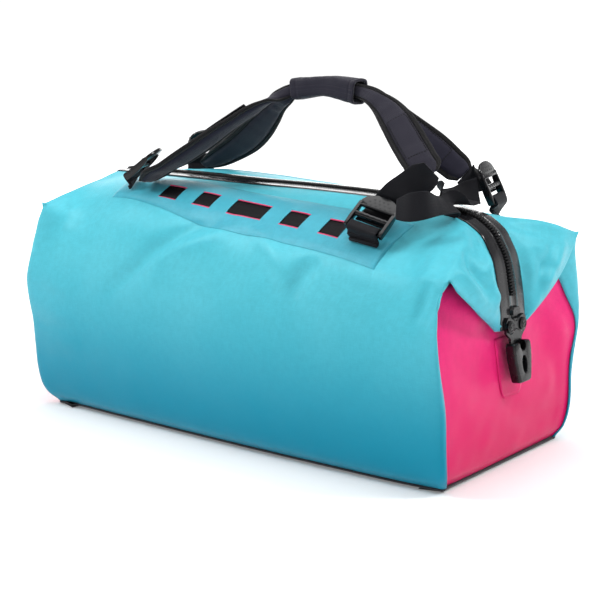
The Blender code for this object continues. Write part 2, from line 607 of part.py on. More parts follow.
# Padded straps, left end to right end: middle, width and the direction of the width. x, y, z and width are shares
# of half LENGTH, HALF_WIDTH, HEIGHT and HALF_WIDTH
STRAPS = {
    "front": [
        # x,      y,      z,     width, across
        (-0.491, -0.592, 1.0035, 0.20, (0.20, 1.00, 0.10)),
        (-0.444, -0.579, 1.043, 0.33, (0.25, 1.00, 0.10)),
        (-0.384, -0.546, 1.078, 0.32, (0.25, 1.00, 0.10)),
        (-0.292, -0.461, 1.146, 0.31, (0.25, 1.00, 0.10)),
        (-0.181, -0.342, 1.240, 0.25, (0.20, 1.00, 0.10)),
        (-0.073, -0.197, 1.326, 0.190, (0.15, 1.00, 0.15)),
        (-0.022, -0.084, 1.366, 0.130, (0.08, 0.70, 0.70)),
        (0.030, -0.032, 1.390, 0.086, (0.00, 0.02, 1.00)),
        (0.188, -0.032, 1.406, 0.086, (0.00, 0.00, 1.00)),
        (0.308, -0.032, 1.396, 0.104, (0.02, 0.05, 1.00)),
        (0.414, -0.079, 1.366, 0.151, (0.43, 0.61, 0.67)),
        (0.461, -0.089, 1.337, 0.206, (0.45, 0.72, 0.53)),
        (0.517, -0.128, 1.295, 0.247, (0.41, 0.71, 0.58)),
        (0.569, -0.168, 1.244, 0.264, (0.41, 0.71, 0.57)),
        (0.613, -0.204, 1.200, 0.266, (0.46, 0.73, 0.51)),
        (0.657, -0.243, 1.160, 0.263, (0.53, 0.74, 0.41)),
        (0.693, -0.270, 1.127, 0.242, (0.57, 0.74, 0.34)),
        (0.710, -0.283, 1.115, 0.148, (0.56, 0.77, 0.31)),
    ],
    "rear": [
        (-0.688, 0.533, 0.998, 0.101, (0.45, -0.61, 0.65)),
        (-0.594, 0.487, 1.035, 0.200, (0.17, -0.71, 0.68)),
        (-0.499, 0.441, 1.079, 0.244, (-0.10, -0.74, 0.67)),
        (-0.412, 0.395, 1.124, 0.280, (-0.08, -0.78, 0.62)),
        (-0.316, 0.316, 1.183, 0.274, (-0.08, -0.80, 0.60)),
        (-0.216, 0.217, 1.253, 0.227, (-0.09, -0.79, 0.61)),
        (-0.134, 0.138, 1.307, 0.158, (-0.13, -0.80, 0.58)),
        (-0.050, 0.059, 1.344, 0.100, (-0.34, -0.62, 0.71)),
        (0.005, 0.032, 1.387, 0.086, (0.00, -0.05, 1.00)),
        (0.162, 0.032, 1.403, 0.086, (0.00, 0.00, 1.00)),
        (0.280, 0.032, 1.392, 0.104, (0.02, -0.05, 1.00)),
        (0.350, 0.066, 1.384, 0.099, (0.23, 0.75, 0.62)),
        (0.412, 0.099, 1.337, 0.125, (0.16, 0.80, 0.58)),
        (0.461, 0.151, 1.286, 0.164, (0.20, 0.77, 0.60)),
        (0.505, 0.217, 1.228, 0.216, (0.29, 0.71, 0.64)),
        (0.559, 0.289, 1.166, 0.248, (0.39, 0.68, 0.62)),
        (0.604, 0.342, 1.117, 0.241, (0.40, 0.70, 0.59)),
        (0.634, 0.372, 1.089, 0.220, (0.38, 0.73, 0.57)),
        (0.653, 0.375, 1.075, 0.155, (0.40, 0.67, 0.63)),
    ],
}


def strap_line(rows, count):
    """Middles, across directions, widths and normals along a strap's table."""
    table = np.array([(*r[:4], *r[4]) for r in rows])
    table[:, :3] *= (LENGTH / 2, HALF_WIDTH, HEIGHT)
    run = np.concatenate([[0], np.cumsum(np.linalg.norm(np.diff(table[:, :3], axis=0), axis=1))])
    at = np.linspace(0, run[-1], count)
    line = through(run, table, at)
    ahead = unit(np.gradient(line[:, :3], axis=0))
    across = line[:, 4:] - ahead * (ahead * line[:, 4:]).sum(axis=1, keepdims=True)
    across = unit(across)
    return line[:, :3], across, line[:, 3] * HALF_WIDTH, np.cross(ahead, across)


for half, rows in STRAPS.items():
    centre, across, width, normal = strap_line(rows, 27)
    # The padding is pressed thinner inside the grip
    held = np.clip(2.2 - np.abs(centre[:, 0] - 0.17 * LENGTH / 2) / 0.042, 0, 1)
    thick = PAD_T * (1 - 0.45 * held)
    thick[[0, -1]] *= 0.5
    ribbon(f"strap_{half}", centre, across, width, normal, thick, "pad")

# Grip: a sleeve around both straps, between two stations along its length
GRIP = [
    # x,    z,     height, depth; shares of half LENGTH, HEIGHT and HALF_WIDTH twice
    (0.019, 1.389, 0.162, 0.182),
    (0.175, 1.405, 0.155, 0.160),
    (0.310, 1.388, 0.188, 0.182),
]
GRIP_WALL = 0.0024


def grip_loops(shrink, count=7):
    table = np.array(GRIP) * (LENGTH / 2, HEIGHT, HALF_WIDTH, HALF_WIDTH)
    line = through(np.arange(3), table, np.linspace(0, 2, count))
    ahead = unit(np.gradient(line[:, [0, 1]], axis=0))
    loops = []
    for (x, z, tall, deep), (dx, dz) in zip(line, ahead):
        up = np.array([-dz, 0, dx])
        loop = []
        for k in range(16):
            t = 2 * math.pi * (k + 0.5) / 16
            a, b = math.cos(t), math.sin(t)
            a, b = math.copysign(abs(a) ** 0.5, a), math.copysign(abs(b) ** 0.5, b)
            loop.append(np.array([x, 0, z]) + Y * a * (deep / 2 - shrink) + up * b * (tall / 2 - shrink))
        loops.append(loop)
    return loops


def sleeve(name, outer, inner):
    """A tube between two stacks of outlines, open at both ends."""
    n, m = len(outer[0]), len(outer)
    points = [p for loop in outer for p in loop] + [p for loop in inner for p in loop]
    faces = []
    for k in range(m - 1):
        for i in range(n):
            j = (i + 1) % n
            faces.append((k * n + i, k * n + j, (k + 1) * n + j, (k + 1) * n + i))
            o = m * n
            faces.append((o + k * n + i, o + (k + 1) * n + i, o + (k + 1) * n + j, o + k * n + j))
    for i in range(n):
        j = (i + 1) % n
        o, e = m * n, (m - 1) * n
        faces.append((i, o + i, o + j, j))
        faces.append((e + i, e + j, o + e + j, o + e + i))
    co = np.array(points, float) - np.mean(points, axis=0)
    volume = sum(np.dot(co[f[0]], np.cross(co[f[k]], co[f[k + 1]])) for f in faces for k in (1, 2))
    return mesh_object(name, points, faces if volume > 0 else [f[::-1] for f in faces])


sleeve("grip", grip_loops(0.0), grip_loops(GRIP_WALL))

# Webbings: from the straps' ends to the locks, and their loose tails that cross over the zip
WEBS = {
    "web_front_right": [
        (0.736, -0.332, 1.133, 0.169, (0.64, 0.74, -0.21)),
        (0.712, -0.359, 1.107, 0.222, (0.83, 0.50, -0.24)),
        (0.672, -0.405, 1.079, 0.205, (0.86, 0.42, -0.28)),
        (0.635, -0.454, 1.052, 0.183, (0.91, 0.29, -0.30)),
    ],
    "tail_front": [
        (0.683, -0.599, 0.999, 0.146, (0.03, -0.27, -0.96)),
        (0.748, -0.625, 1.014, 0.198, (0.03, -0.20, -0.98)),
        (0.792, -0.579, 1.024, 0.193, (0.11, -0.14, -0.98)),
        (0.800, -0.434, 1.015, 0.144, (0.42, -0.37, -0.83)),
        (0.786, -0.243, 1.005, 0.180, (0.69, -0.66, -0.29)),
        (0.752, -0.026, 0.994, 0.240, (-1.00, -0.20, 0.05)),
        (0.748, 0.092, 0.998, 0.240, (-1.00, 0.00, 0.10)),
    ],
    "tail_rear": [
        (0.738, 0.296, 1.020, 0.197, (0.37, -0.07, -0.93)),
        (0.717, 0.257, 1.016, 0.186, (0.41, -0.21, -0.89)),
        (0.687, 0.214, 1.009, 0.172, (0.53, -0.42, -0.74)),
        (0.654, 0.164, 1.007, 0.161, (0.58, -0.74, -0.35)),
        (0.638, 0.092, 1.007, 0.220, (-0.50, -1.00, -0.10)),
    ],
}
# Webbings between a strap's right end and its ladder lock: the strap, its end, the lock, and the stations beside the lock's
# tab and roller as v and h of its frame
TO_LOCK = {
    "web_front_right": ("front", None, "front_right", [(0.038, -0.0104), (0.024, -0.0058), (0.010, -0.0038)]),
    "web_rear_right": ("rear", -1, "rear_right", [(0.024, -0.0064), (0.008, -0.0039)]),
}
for name, (half, tip, lock, stations) in TO_LOCK.items():
    scale, place = np.array([LENGTH / 2, HALF_WIDTH, HEIGHT]), PLACES[lock]
    origin = place((0, 0, 0))
    u, h = place((1, 0, 0)) - origin, place((0, 0, 1)) - origin
    if tip is not None:
        # It leaves the strap's own end
        centre, across, width, normal = strap_line(STRAPS[half], 27)
        ahead = unit(centre[-1] - centre[-2]) if tip else unit(centre[0] - centre[1])
        WEBS[name] = [(*((centre[tip] + ahead * far) / scale), 0.18, tuple(across[tip])) for far in (0.0005, 0.0035)]
    u = u if np.dot(u, WEBS[name][-1][4]) > 0 else -u
    WEBS[name] += [(*((origin + (place((0, v, 0)) - origin) + h * off) / scale), 0.24, tuple(u)) for v, off in stations]
for name, rows in WEBS.items():
    centre, across, width, normal = strap_line(rows, 3 * len(rows) - 6 * (name == "web_front_right"))
    ribbon(name, centre, across, width, normal, [WEB_T] * len(centre))

# The short loop that is sewn onto the front strap
centre, across, width, normal = strap_line(STRAPS["front"], 81)
lift = normal * np.sign(normal[:, 2:]) * (PAD_T / 2 + GAP + 0.0010)
chosen = slice(17, 28, 2)
ribbon("strap_loop", (centre + lift)[chosen], across[chosen], [0.024] * 6, normal[chosen], [0.0020] * 6)


def end_frame(end):
    """The frame of the hardware on one end: u across, v up, h outwards, at the zip's foot."""
    foot, normal = zip_end(end, [0.98])
    side = END[end]
    up = np.array([-normal[0, 2] * side, 0, normal[0, 0] * side])
    up = unit(up if up[2] > 0 else -up)
    return foot[0], normal[0], up


SOCKET_TOP, SOCKET_L, SOCKET_T = 0.139, 0.044, 0.012
PATCH_OFF = 0.0016  # outer face of the patch under each socket, off the end panel

for end, side in END.items():
    at, out, up = end_frame(end)
    place = frame(at, up, Y * side)
    grid = ENDS[end]
    middle = (grid.shape[1] - 1) / 2

    def on_end(y, z):
        row = np.interp(z, [between(grid, i, middle)[2] for i in range(len(LOW))], np.arange(len(LOW)))
        line = np.array([between(grid, row, j) for j in range(grid.shape[1])])
        return between(grid, row, np.interp(y, line[:, 1], np.arange(grid.shape[1])))

    top, bottom = on_end(0, SOCKET_TOP), on_end(0, SOCKET_TOP - SOCKET_L)
    lean = unit(top - bottom)
    socket_place = frame(top, lean, Y * side)
    face = socket_place((0, 0, 1)) - top
    # It stands off just enough to clear the patch under it
    seat = max(np.dot(on_end(y, SOCKET_TOP - down) - top, face) for y in (-0.016, 0, 0.016)
               for down in np.linspace(0, SOCKET_L, 9)) + GAP + PATCH_OFF
    rim = [(-0.0175, 0.0), (0.0175, 0.0), (0.0165, -0.020), (0.0115, -SOCKET_L), (-0.0115, -SOCKET_L), (-0.0165, -0.020)]
    socket = plate(f"buckle_socket_{end}", socket_place, rim, (seat, seat + SOCKET_T), 0.06)
    joined(socket, [block("mouth", socket_place, (-0.0128, 0.0128), (-0.022, 0.004),
                          (seat + 0.0020, seat + SOCKET_T - 0.0028))], "DIFFERENCE")
    clip_h = (GAP, 0.0034)
    reach = np.dot(top + face * seat - at, up)
    low = reach + GAP
    bow = [(-0.011, low), (0.011, low), (0.012, -0.013), (0.0205, -0.006), (0.0205, 0.006), (0.016, 0.0105),
           (0.005, 0.0075), (-0.005, 0.0075), (-0.016, 0.0105), (-0.0205, 0.006), (-0.0205, -0.006), (-0.012, -0.013)]
    plate(f"end_clip_{end}", place, bow, clip_h)
    for k, u in (("front", -0.0128), ("rear", 0.0128)):
        disc(f"rivet_{end}_{k}", place, u, 0.0, (clip_h[1] + GAP, clip_h[1] + GAP + 0.0012), 0.0068, dome=0.0008)
    dock = [(-0.0075, 0.0115), (0.0075, 0.0115), (0.0082, 0.017), (0.005, 0.0205), (-0.005, 0.0205), (-0.0082, 0.017)]
    plate(f"zip_{'dock' if end == 'right' else 'slider'}", place, dock, (GAP, 0.0042), 0.1)

    ys, zs = np.linspace(-0.025, 0.025, 5), [0.080, 0.086, 0.105, 0.125, 0.146]
    pinch = [0.6, 0.85, 1, 1, 1]
    patch = np.array([[on_end(y * p, z) for y in ys] for z, p in zip(zs, pinch)])
    patch[:, :, 0] += side * PATCH_OFF
    sheet(f"socket_patch_{end}", [(patch, end == "left")], 0.0008)

# The origin is below the middle of the whole
span = [v.co.x for obj in bpy.data.objects if not obj.hide_render for v in obj.data.vertices]
middle = (min(span) + max(span)) / 2
for obj in bpy.data.objects:
    for v in obj.data.vertices:
        v.co.x -= middle
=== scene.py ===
"""Waterproof duffel bag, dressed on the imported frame.

The cloth, straps and zip are remade fine on the part's own curves.
"""

import math
from collections import Counter

import bpy
import numpy as np
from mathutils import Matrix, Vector, noise


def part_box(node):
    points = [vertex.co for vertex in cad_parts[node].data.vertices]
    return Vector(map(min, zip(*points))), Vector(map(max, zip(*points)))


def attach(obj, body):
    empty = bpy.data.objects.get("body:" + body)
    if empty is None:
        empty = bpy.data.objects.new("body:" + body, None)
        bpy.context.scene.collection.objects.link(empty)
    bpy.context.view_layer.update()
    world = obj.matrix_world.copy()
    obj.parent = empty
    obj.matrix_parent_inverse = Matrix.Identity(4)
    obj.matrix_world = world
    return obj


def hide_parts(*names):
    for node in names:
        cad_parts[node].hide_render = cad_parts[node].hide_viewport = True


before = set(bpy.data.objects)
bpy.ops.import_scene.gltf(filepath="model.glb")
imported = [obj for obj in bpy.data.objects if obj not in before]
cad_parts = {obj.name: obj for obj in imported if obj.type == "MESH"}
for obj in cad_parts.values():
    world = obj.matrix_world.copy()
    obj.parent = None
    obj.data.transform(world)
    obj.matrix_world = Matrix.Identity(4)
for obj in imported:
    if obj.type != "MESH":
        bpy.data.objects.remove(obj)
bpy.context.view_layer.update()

# The part's own sizes in metres, and its tables as shares of the first three
LENGTH, HALF_WIDTH, HEIGHT = 0.61, 0.152, 0.286
HALF_LENGTH = LENGTH / 2
SCALE = np.array([HALF_LENGTH, HALF_WIDTH, HEIGHT])
WALL, GAP, BASE_T = 0.0016, 0.0004, 0.0042
TAPE_W, TAPE_T = 0.051, 0.0014
UNDER = TAPE_T + GAP
WEB_W, WEB_T, PAD_T, GRIP_WALL = 0.038, 0.0018, 0.0095, 0.0024
PATCH_T, CHAIN_T = 0.0008, 0.0010
CENTRING = np.array([0.000566, 0.0, 0.0])
Y = np.array([0.0, 1.0, 0.0])
HALF = {"front": -1.0, "rear": 1.0}
END = {"left": -1.0, "right": 1.0}
GIRTH = np.array([
    (0.842, 0.016), (0.928, 0.063), (0.974, 0.175), (1.000, 0.315), (1.000, 0.455), (0.974, 0.594),
    (0.921, 0.717), (0.836, 0.822), (0.697, 0.897), (0.526, 0.948), (0.342, 0.978), (0.191, 0.989),
    (0.125, 0.989),
])
EAR_ROW, LAST_ROW = 7, 12
SECTIONS = [(-0.84, 0.985, 0.014, 0.010), (-0.52, 0.998, -0.030, -0.020), (-0.16, 1.010, -0.010, -0.016),
            (0.20, 1.012, 0.022, 0.004), (0.50, 1.000, 0.040, 0.010), (0.76, 0.985, 0.044, 0.014)]
DROP = np.interp(np.arange(13), [4, 7, 8.5, 10, 11, 12], [0, 0.45, 1, 0.7, 0, 0])
ZIP_TOP = [(-0.86, 0.997), (-0.62, 1.0), (0.0, 1.0), (0.42, 1.0), (0.60, 0.985), (0.75, 0.962), (0.83, 0.943)]
ZIP_DOWN = {
    "right": [(0.862, 0.923), (0.898, 0.892), (0.921, 0.853), (0.941, 0.815), (0.954, 0.773), (0.964, 0.720),
              (0.974, 0.660), (0.980, 0.605), (0.983, 0.545)],
    "left": [(0.885, 0.978), (0.923, 0.948), (0.949, 0.902), (0.967, 0.850), (0.980, 0.793), (0.987, 0.734),
             (0.993, 0.675), (0.997, 0.620), (0.999, 0.555)],
}
EARS = {
    ("right", "rear"): [
        (0.955, 0.790, 0.016), (0.980, 0.862, 0.066), (0.988, 0.905, 0.175), (0.990, 0.900, 0.330),
        (1.002, 0.955, 0.480), (1.005, 0.955, 0.600), (1.003, 0.925, 0.730), (0.998, 0.880, 0.850),
    ],
    ("right", "front"): [
        (0.950, 0.800, 0.016), (0.975, 0.875, 0.066), (0.988, 0.930, 0.175), (0.990, 0.955, 0.330),
        (1.000, 1.010, 0.480), (0.992, 1.000, 0.600), (0.984, 0.950, 0.710), (0.984, 0.868, 0.797),
    ],
    ("left", "front"): [
        (0.890, 0.850, 0.016), (0.940, 0.925, 0.066), (0.970, 0.950, 0.175), (0.978, 0.955, 0.320),
        (1.008, 0.960, 0.450), (1.026, 0.965, 0.555), (0.985, 0.930, 0.720), (0.933, 0.888, 0.890),
    ],
    ("left", "rear"): [
        (0.900, 0.840, 0.016), (0.945, 0.910, 0.066), (0.970, 0.945, 0.175), (0.978, 0.950, 0.320),
        (1.005, 0.955, 0.450), (1.018, 0.960, 0.550), (0.988, 0.925, 0.715), (0.940, 0.885, 0.875),
    ],
}
LAPS = {
    "rear": [
        (0.004, -0.028, 0.0), (0.004, -0.028, 0.0), (0.003, -0.028, 0.0), (0.002, -0.028, 0.0),
        (-0.004, -0.034, 0.0), (-0.035, -0.088, 0.008), (-0.056, -0.125, -0.010),
        (-0.060, -0.125, -0.072),
    ],
    "front": [
        (0.004, -0.028, 0.0), (0.004, -0.028, 0.0), (0.003, -0.028, 0.0), (0.000, -0.030, 0.0),
        (-0.030, -0.045, 0.0), (-0.070, -0.060, 0.008), (-0.085, -0.075, 0.010), (-0.075, -0.100, -0.050),
    ],
}
RIDGE_BOW = {"right": 0.014, "left": -0.008}
FOOT_EDGE, FOOT_INNER = 0.0275, 0.016
END_BELLY = [0.950, 0.972, 0.984, 0.978, 0.958, 0.940, 0.918, 0.885]
WINDOWS = [(-0.354, 0.090), (-0.178, 0.090), (0.033, 0.165), (0.248, 0.090), (0.426, 0.090)]
PATCH_X = (-0.66, 0.68)
PATCH_ROWS = [(0.056, 0.056, 0.0005), (0.067, 0.074, 0.0014), (0.0785, 0.089, 0.0027), (0.089, 0.102, 0.0028),
              (0.0995, 0.115, 0.0027), (0.000, 0.000, 0.0014), (0.000, 0.000, 0.0005)]
PATCH_EDGE = [(-0.66, 0.1045), (-0.354, 0.117), (-0.15, 0.129), (0.68, 0.137)]
LOCKS = {
    "front_right": ((0.586, -0.700, 0.926), (0.05, 0.80, 0.60), (0.92, -0.10, -0.38)),
    "rear_right": ((0.746, 0.530, 0.979), (-0.42, -0.12, 0.90), (-0.05, 0.95, -0.28)),
    "front_left": ((-0.577, -0.553, 1.028), (0.71, 0.32, 0.63), (0.51, -0.86, 0.06)),
    "rear_left": ((-0.720, 0.570, 1.030), (0.55, -0.25, 0.79), (-0.55, -0.83, 0.0)),
}
LOCK_W, LOCK_L, BAR_R, ROLLER_R = 0.046, 0.044, 0.0026, 0.0032
ROLLER_V, ROLLER_H = 0.0145, 0.0008
FOOT_RISE = {"front_right": 0.0048, "rear_right": 0.0008, "front_left": 0.0044, "rear_left": 0.0008}
STRAPS = {
    "front": [
        (-0.491, -0.592, 1.0035, 0.20, (0.20, 1.00, 0.10)), (-0.444, -0.579, 1.043, 0.33, (0.25, 1.00, 0.10)),
        (-0.384, -0.546, 1.078, 0.32, (0.25, 1.00, 0.10)), (-0.292, -0.461, 1.146, 0.31, (0.25, 1.00, 0.10)),
        (-0.181, -0.342, 1.240, 0.25, (0.20, 1.00, 0.10)), (-0.073, -0.197, 1.326, 0.190, (0.15, 1.00, 0.15)),
        (-0.022, -0.084, 1.366, 0.130, (0.08, 0.70, 0.70)), (0.030, -0.032, 1.390, 0.086, (0.00, 0.02, 1.00)),
        (0.188, -0.032, 1.406, 0.086, (0.00, 0.00, 1.00)), (0.308, -0.032, 1.396, 0.104, (0.02, 0.05, 1.00)),
        (0.414, -0.079, 1.366, 0.151, (0.43, 0.61, 0.67)), (0.461, -0.089, 1.337, 0.206, (0.45, 0.72, 0.53)),
        (0.517, -0.128, 1.295, 0.247, (0.41, 0.71, 0.58)), (0.569, -0.168, 1.244, 0.264, (0.41, 0.71, 0.57)),
        (0.613, -0.204, 1.200, 0.266, (0.46, 0.73, 0.51)), (0.657, -0.243, 1.160, 0.263, (0.53, 0.74, 0.41)),
        (0.693, -0.270, 1.127, 0.242, (0.57, 0.74, 0.34)), (0.710, -0.283, 1.115, 0.148, (0.56, 0.77, 0.31)),
    ],
    "rear": [
        (-0.688, 0.533, 0.998, 0.101, (0.45, -0.61, 0.65)), (-0.594, 0.487, 1.035, 0.200, (0.17, -0.71, 0.68)),
        (-0.499, 0.441, 1.079, 0.244, (-0.10, -0.74, 0.67)), (-0.412, 0.395, 1.124, 0.280, (-0.08, -0.78, 0.62)),
        (-0.316, 0.316, 1.183, 0.274, (-0.08, -0.80, 0.60)), (-0.216, 0.217, 1.253, 0.227, (-0.09, -0.79, 0.61)),
        (-0.134, 0.138, 1.307, 0.158, (-0.13, -0.80, 0.58)), (-0.050, 0.059, 1.344, 0.100, (-0.34, -0.62, 0.71)),
        (0.005, 0.032, 1.387, 0.086, (0.00, -0.05, 1.00)), (0.162, 0.032, 1.403, 0.086, (0.00, 0.00, 1.00)),
        (0.280, 0.032, 1.392, 0.104, (0.02, -0.05, 1.00)), (0.350, 0.066, 1.384, 0.099, (0.23, 0.75, 0.62)),
        (0.412, 0.099, 1.337, 0.125, (0.16, 0.80, 0.58)), (0.461, 0.151, 1.286, 0.164, (0.20, 0.77, 0.60)),
        (0.505, 0.217, 1.228, 0.216, (0.29, 0.71, 0.64)), (0.559, 0.289, 1.166, 0.248, (0.39, 0.68, 0.62)),
        (0.604, 0.342, 1.117, 0.241, (0.40, 0.70, 0.59)), (0.634, 0.372, 1.089, 0.220, (0.38, 0.73, 0.57)),
        (0.653, 0.375, 1.075, 0.155, (0.40, 0.67, 0.63)),
    ],
}
GRIP = [(0.019, 1.389, 0.162, 0.182), (0.175, 1.405, 0.155, 0.160), (0.310, 1.388, 0.188, 0.182)]
WEBS = {
    "web_front_right": [
        (0.736, -0.332, 1.133, 0.169, (0.64, 0.74, -0.21)), (0.712, -0.359, 1.107, 0.222, (0.83, 0.50, -0.24)),
        (0.672, -0.405, 1.079, 0.205, (0.86, 0.42, -0.28)), (0.635, -0.454, 1.052, 0.183, (0.91, 0.29, -0.30)),
    ],
    "tail_front": [
        (0.683, -0.599, 0.999, 0.146, (0.03, -0.27, -0.96)), (0.748, -0.625, 1.014, 0.198, (0.03, -0.20, -0.98)),
        (0.792, -0.579, 1.024, 0.193, (0.11, -0.14, -0.98)), (0.800, -0.434, 1.015, 0.144, (0.42, -0.37, -0.83)),
        (0.786, -0.243, 1.005, 0.180, (0.69, -0.66, -0.29)), (0.752, -0.026, 0.994, 0.240, (-1.00, -0.20, 0.05)),
        (0.748, 0.092, 0.998, 0.240, (-1.00, 0.00, 0.10)),
    ],
    "tail_rear": [
        (0.738, 0.296, 1.020, 0.197, (0.37, -0.07, -0.93)), (0.717, 0.257, 1.016, 0.186, (0.41, -0.21, -0.89)),
        (0.687, 0.214, 1.009, 0.172, (0.53, -0.42, -0.74)), (0.654, 0.164, 1.007, 0.161, (0.58, -0.74, -0.35)),
        (0.638, 0.092, 1.007, 0.220, (-0.50, -1.00, -0.10)),
    ],
}

# Folds of the cloth in metres: points along each, then half width and depth; negative ones are valleys
SIDE_FOLDS = [
    ((-0.006, -0.107, 0.258), (-0.091, -0.136, 0.221), (-0.129, -0.145, 0.187), (-0.170, -0.149, 0.154),
     0.011, -0.0030),
    ((0.010, -0.118, 0.246), (-0.070, -0.139, 0.212), (-0.102, -0.147, 0.181), 0.011, 0.0020),
    ((0.137, -0.128, 0.229), (0.117, -0.138, 0.211), (0.117, -0.145, 0.185), 0.010, -0.0028),
    ((0.033, -0.111, 0.252), (0.085, -0.135, 0.220), (0.102, -0.144, 0.192), 0.012, 0.0018),
    ((-0.302, -0.142, 0.197), (-0.279, -0.135, 0.229), (-0.245, -0.105, 0.254), 0.014, 0.0014),
    ((-0.310, -0.146, 0.150), (-0.282, -0.147, 0.146), (-0.229, -0.149, 0.141), 0.012, -0.0006),
    ((-0.300, -0.148, 0.110), (-0.271, -0.148, 0.107), (-0.225, -0.151, 0.106), 0.009, -0.0007),
    ((-0.295, -0.147, 0.064), (-0.267, -0.147, 0.066), (-0.226, -0.149, 0.070), 0.009, -0.0006),
    ((-0.252, -0.150, 0.090), (-0.205, -0.151, 0.089), 0.011, 0.0006),
    ((0.245, -0.054, 0.259), (0.265, -0.110, 0.236), (0.269, -0.137, 0.210), 0.011, 0.0016),
    ((0.292, -0.135, 0.219), (0.288, -0.143, 0.200), (0.280, -0.147, 0.181), 0.007, -0.0026),
    ((0.278, -0.131, 0.224), (0.274, -0.141, 0.201), (0.270, -0.146, 0.181), 0.007, -0.0022),
    ((0.290, -0.138, 0.213), (0.287, -0.146, 0.190), 0.006, 0.0014),
]
FLAP_FOLDS = [
    ((0.261, -0.030, 0.263), (0.285, -0.045, 0.245), (0.303, -0.056, 0.215), (0.307, -0.045, 0.182),
     0.007, 0.0028),
    ((0.280, -0.073, 0.253), (0.297, -0.081, 0.234), (0.307, -0.070, 0.204), 0.008, -0.0030),
    ((0.295, -0.110, 0.236), (0.303, -0.096, 0.218), (0.308, -0.068, 0.195), 0.008, 0.0028),
    ((0.283, 0.023, 0.235), (0.292, 0.025, 0.208), (0.298, 0.029, 0.171), 0.007, -0.0032),
    ((0.286, 0.036, 0.239), (0.297, 0.037, 0.218), (0.301, 0.032, 0.179), 0.008, 0.0030),
    ((0.302, 0.082, 0.234), (0.305, 0.048, 0.208), (0.302, 0.034, 0.179), 0.008, -0.0030),
    ((0.302, 0.105, 0.238), (0.307, 0.074, 0.217), (0.307, 0.045, 0.192), 0.009, 0.0020),
]
END_FOLDS = [
    ((0.280, -0.087, 0.200), (0.285, -0.066, 0.182), (0.289, -0.038, 0.160), (0.292, -0.028, 0.140),
     0.012, 0.0026),
    ((0.303, -0.073, 0.183), (0.289, -0.032, 0.155), (0.293, -0.025, 0.135), 0.009, -0.0030),
    ((0.292, -0.042, 0.138), (0.294, -0.051, 0.125), (0.297, -0.059, 0.102), 0.014, -0.0006),
    ((0.299, 0.117, 0.102), (0.299, 0.104, 0.079), (0.299, 0.097, 0.053), 0.014, -0.0010),
    ((0.290, 0.079, 0.158), (0.298, 0.114, 0.133), (0.300, 0.131, 0.111), 0.012, 0.0018),
    ((0.292, 0.062, 0.138), (0.298, 0.092, 0.107), (0.299, 0.103, 0.081), 0.014, -0.0014),
    ((0.299, -0.005, 0.072), (0.300, 0.047, 0.045), (0.297, 0.113, 0.035), 0.016, -0.0014),
]
# Small folds over a flap, from the zip's bend: where each starts and ends across the flap, and its depth
FANS = [(0.05, 0.03, 0.0011), (0.17, 0.13, -0.0014), (0.29, 0.27, 0.0013), (0.41, 0.42, -0.0014),
        (0.54, 0.58, 0.0012), (0.67, 0.74, -0.0011), (0.80, 0.86, 0.0008)]


# How much the folds, the fans and the rear side's mirrored folds are worth; grid rows to a row of the girth
FOLD_GAIN, FAN_GAIN, MIRROR_GAIN, ROW_STEPS = 2.1, 0.7, 0.7, 9


# Curves

def through(knots, values, at):
    """A smooth curve through the values at the knots."""
    knots, values, at = (np.asarray(v, float) for v in (knots, values, at))
    column = (-1, *[1] * (values.ndim - 1))
    step = np.diff(knots)
    slope = np.diff(values, axis=0) / step.reshape(column)
    tangent = np.zeros_like(values)
    tangent[0], tangent[-1] = slope[0], slope[-1]
    if len(knots) > 2:
        share = (step[1:] / (step[1:] + step[:-1])).reshape(column)
        tangent[1:-1] = slope[:-1] * share + slope[1:] * (1 - share)
    cell = np.clip(np.searchsorted(knots, at, side="right") - 1, 0, len(step) - 1)
    s, h = ((at - knots[cell]) / step[cell]).reshape(column), step[cell].reshape(column)
    return ((1 + 2 * s) * (1 - s) ** 2 * values[cell] + s * (1 - s) ** 2 * h * tangent[cell]
            + s * s * (3 - 2 * s) * values[cell + 1] + s * s * (s - 1) * h * tangent[cell + 1])


def unit(v):
    v = np.asarray(v, float)
    return v / np.maximum(np.linalg.norm(v, axis=-1, keepdims=True), 1e-12)


def ramp(value, start, width):
    """0 up to the start, rising to 1 over the width."""
    return np.clip((value - start) / width, 0, 1)


def run_of(line):
    """The distance along a line at each of its points."""
    return np.concatenate([[0], np.cumsum(np.linalg.norm(np.diff(line, axis=0), axis=1))])


def sample(line, run, where):
    return np.array([np.interp(where, run, line[:, k]) for k in range(3)])


def circle(count):
    return np.linspace(0, 2 * math.pi, count, endpoint=False)


def zip_end(end, shares):
    """Points of the zip's outer line down one end, from the ridge (0) to its foot (1), with outward normals."""
    first = ZIP_TOP[-1] if end == "right" else (-ZIP_TOP[0][0], ZIP_TOP[0][1])
    line = np.array([first, *ZIP_DOWN[end]]) * (HALF_LENGTH, HEIGHT)
    run = run_of(line)
    run /= run[-1]
    shares = np.asarray(shares, float)
    ahead = through(run, line, np.clip(shares + 0.01, 0, 1)) - through(run, line, np.clip(shares - 0.01, 0, 1))
    normal = unit(np.stack([-ahead[:, 1], ahead[:, 0]], axis=1))
    normal = -normal if normal[-1, 0] < 0 else normal
    flat = (through(run, line, shares), normal)
    return [np.stack([v[:, 0] * END[end], 0 * v[:, 0], v[:, 1]], axis=1) for v in flat]


def ear(end, half, rows):
    table = np.array(EARS[end, half]) * SCALE * (END[end], HALF[half], 1)
    return through(np.arange(EAR_ROW + 1), table, rows)


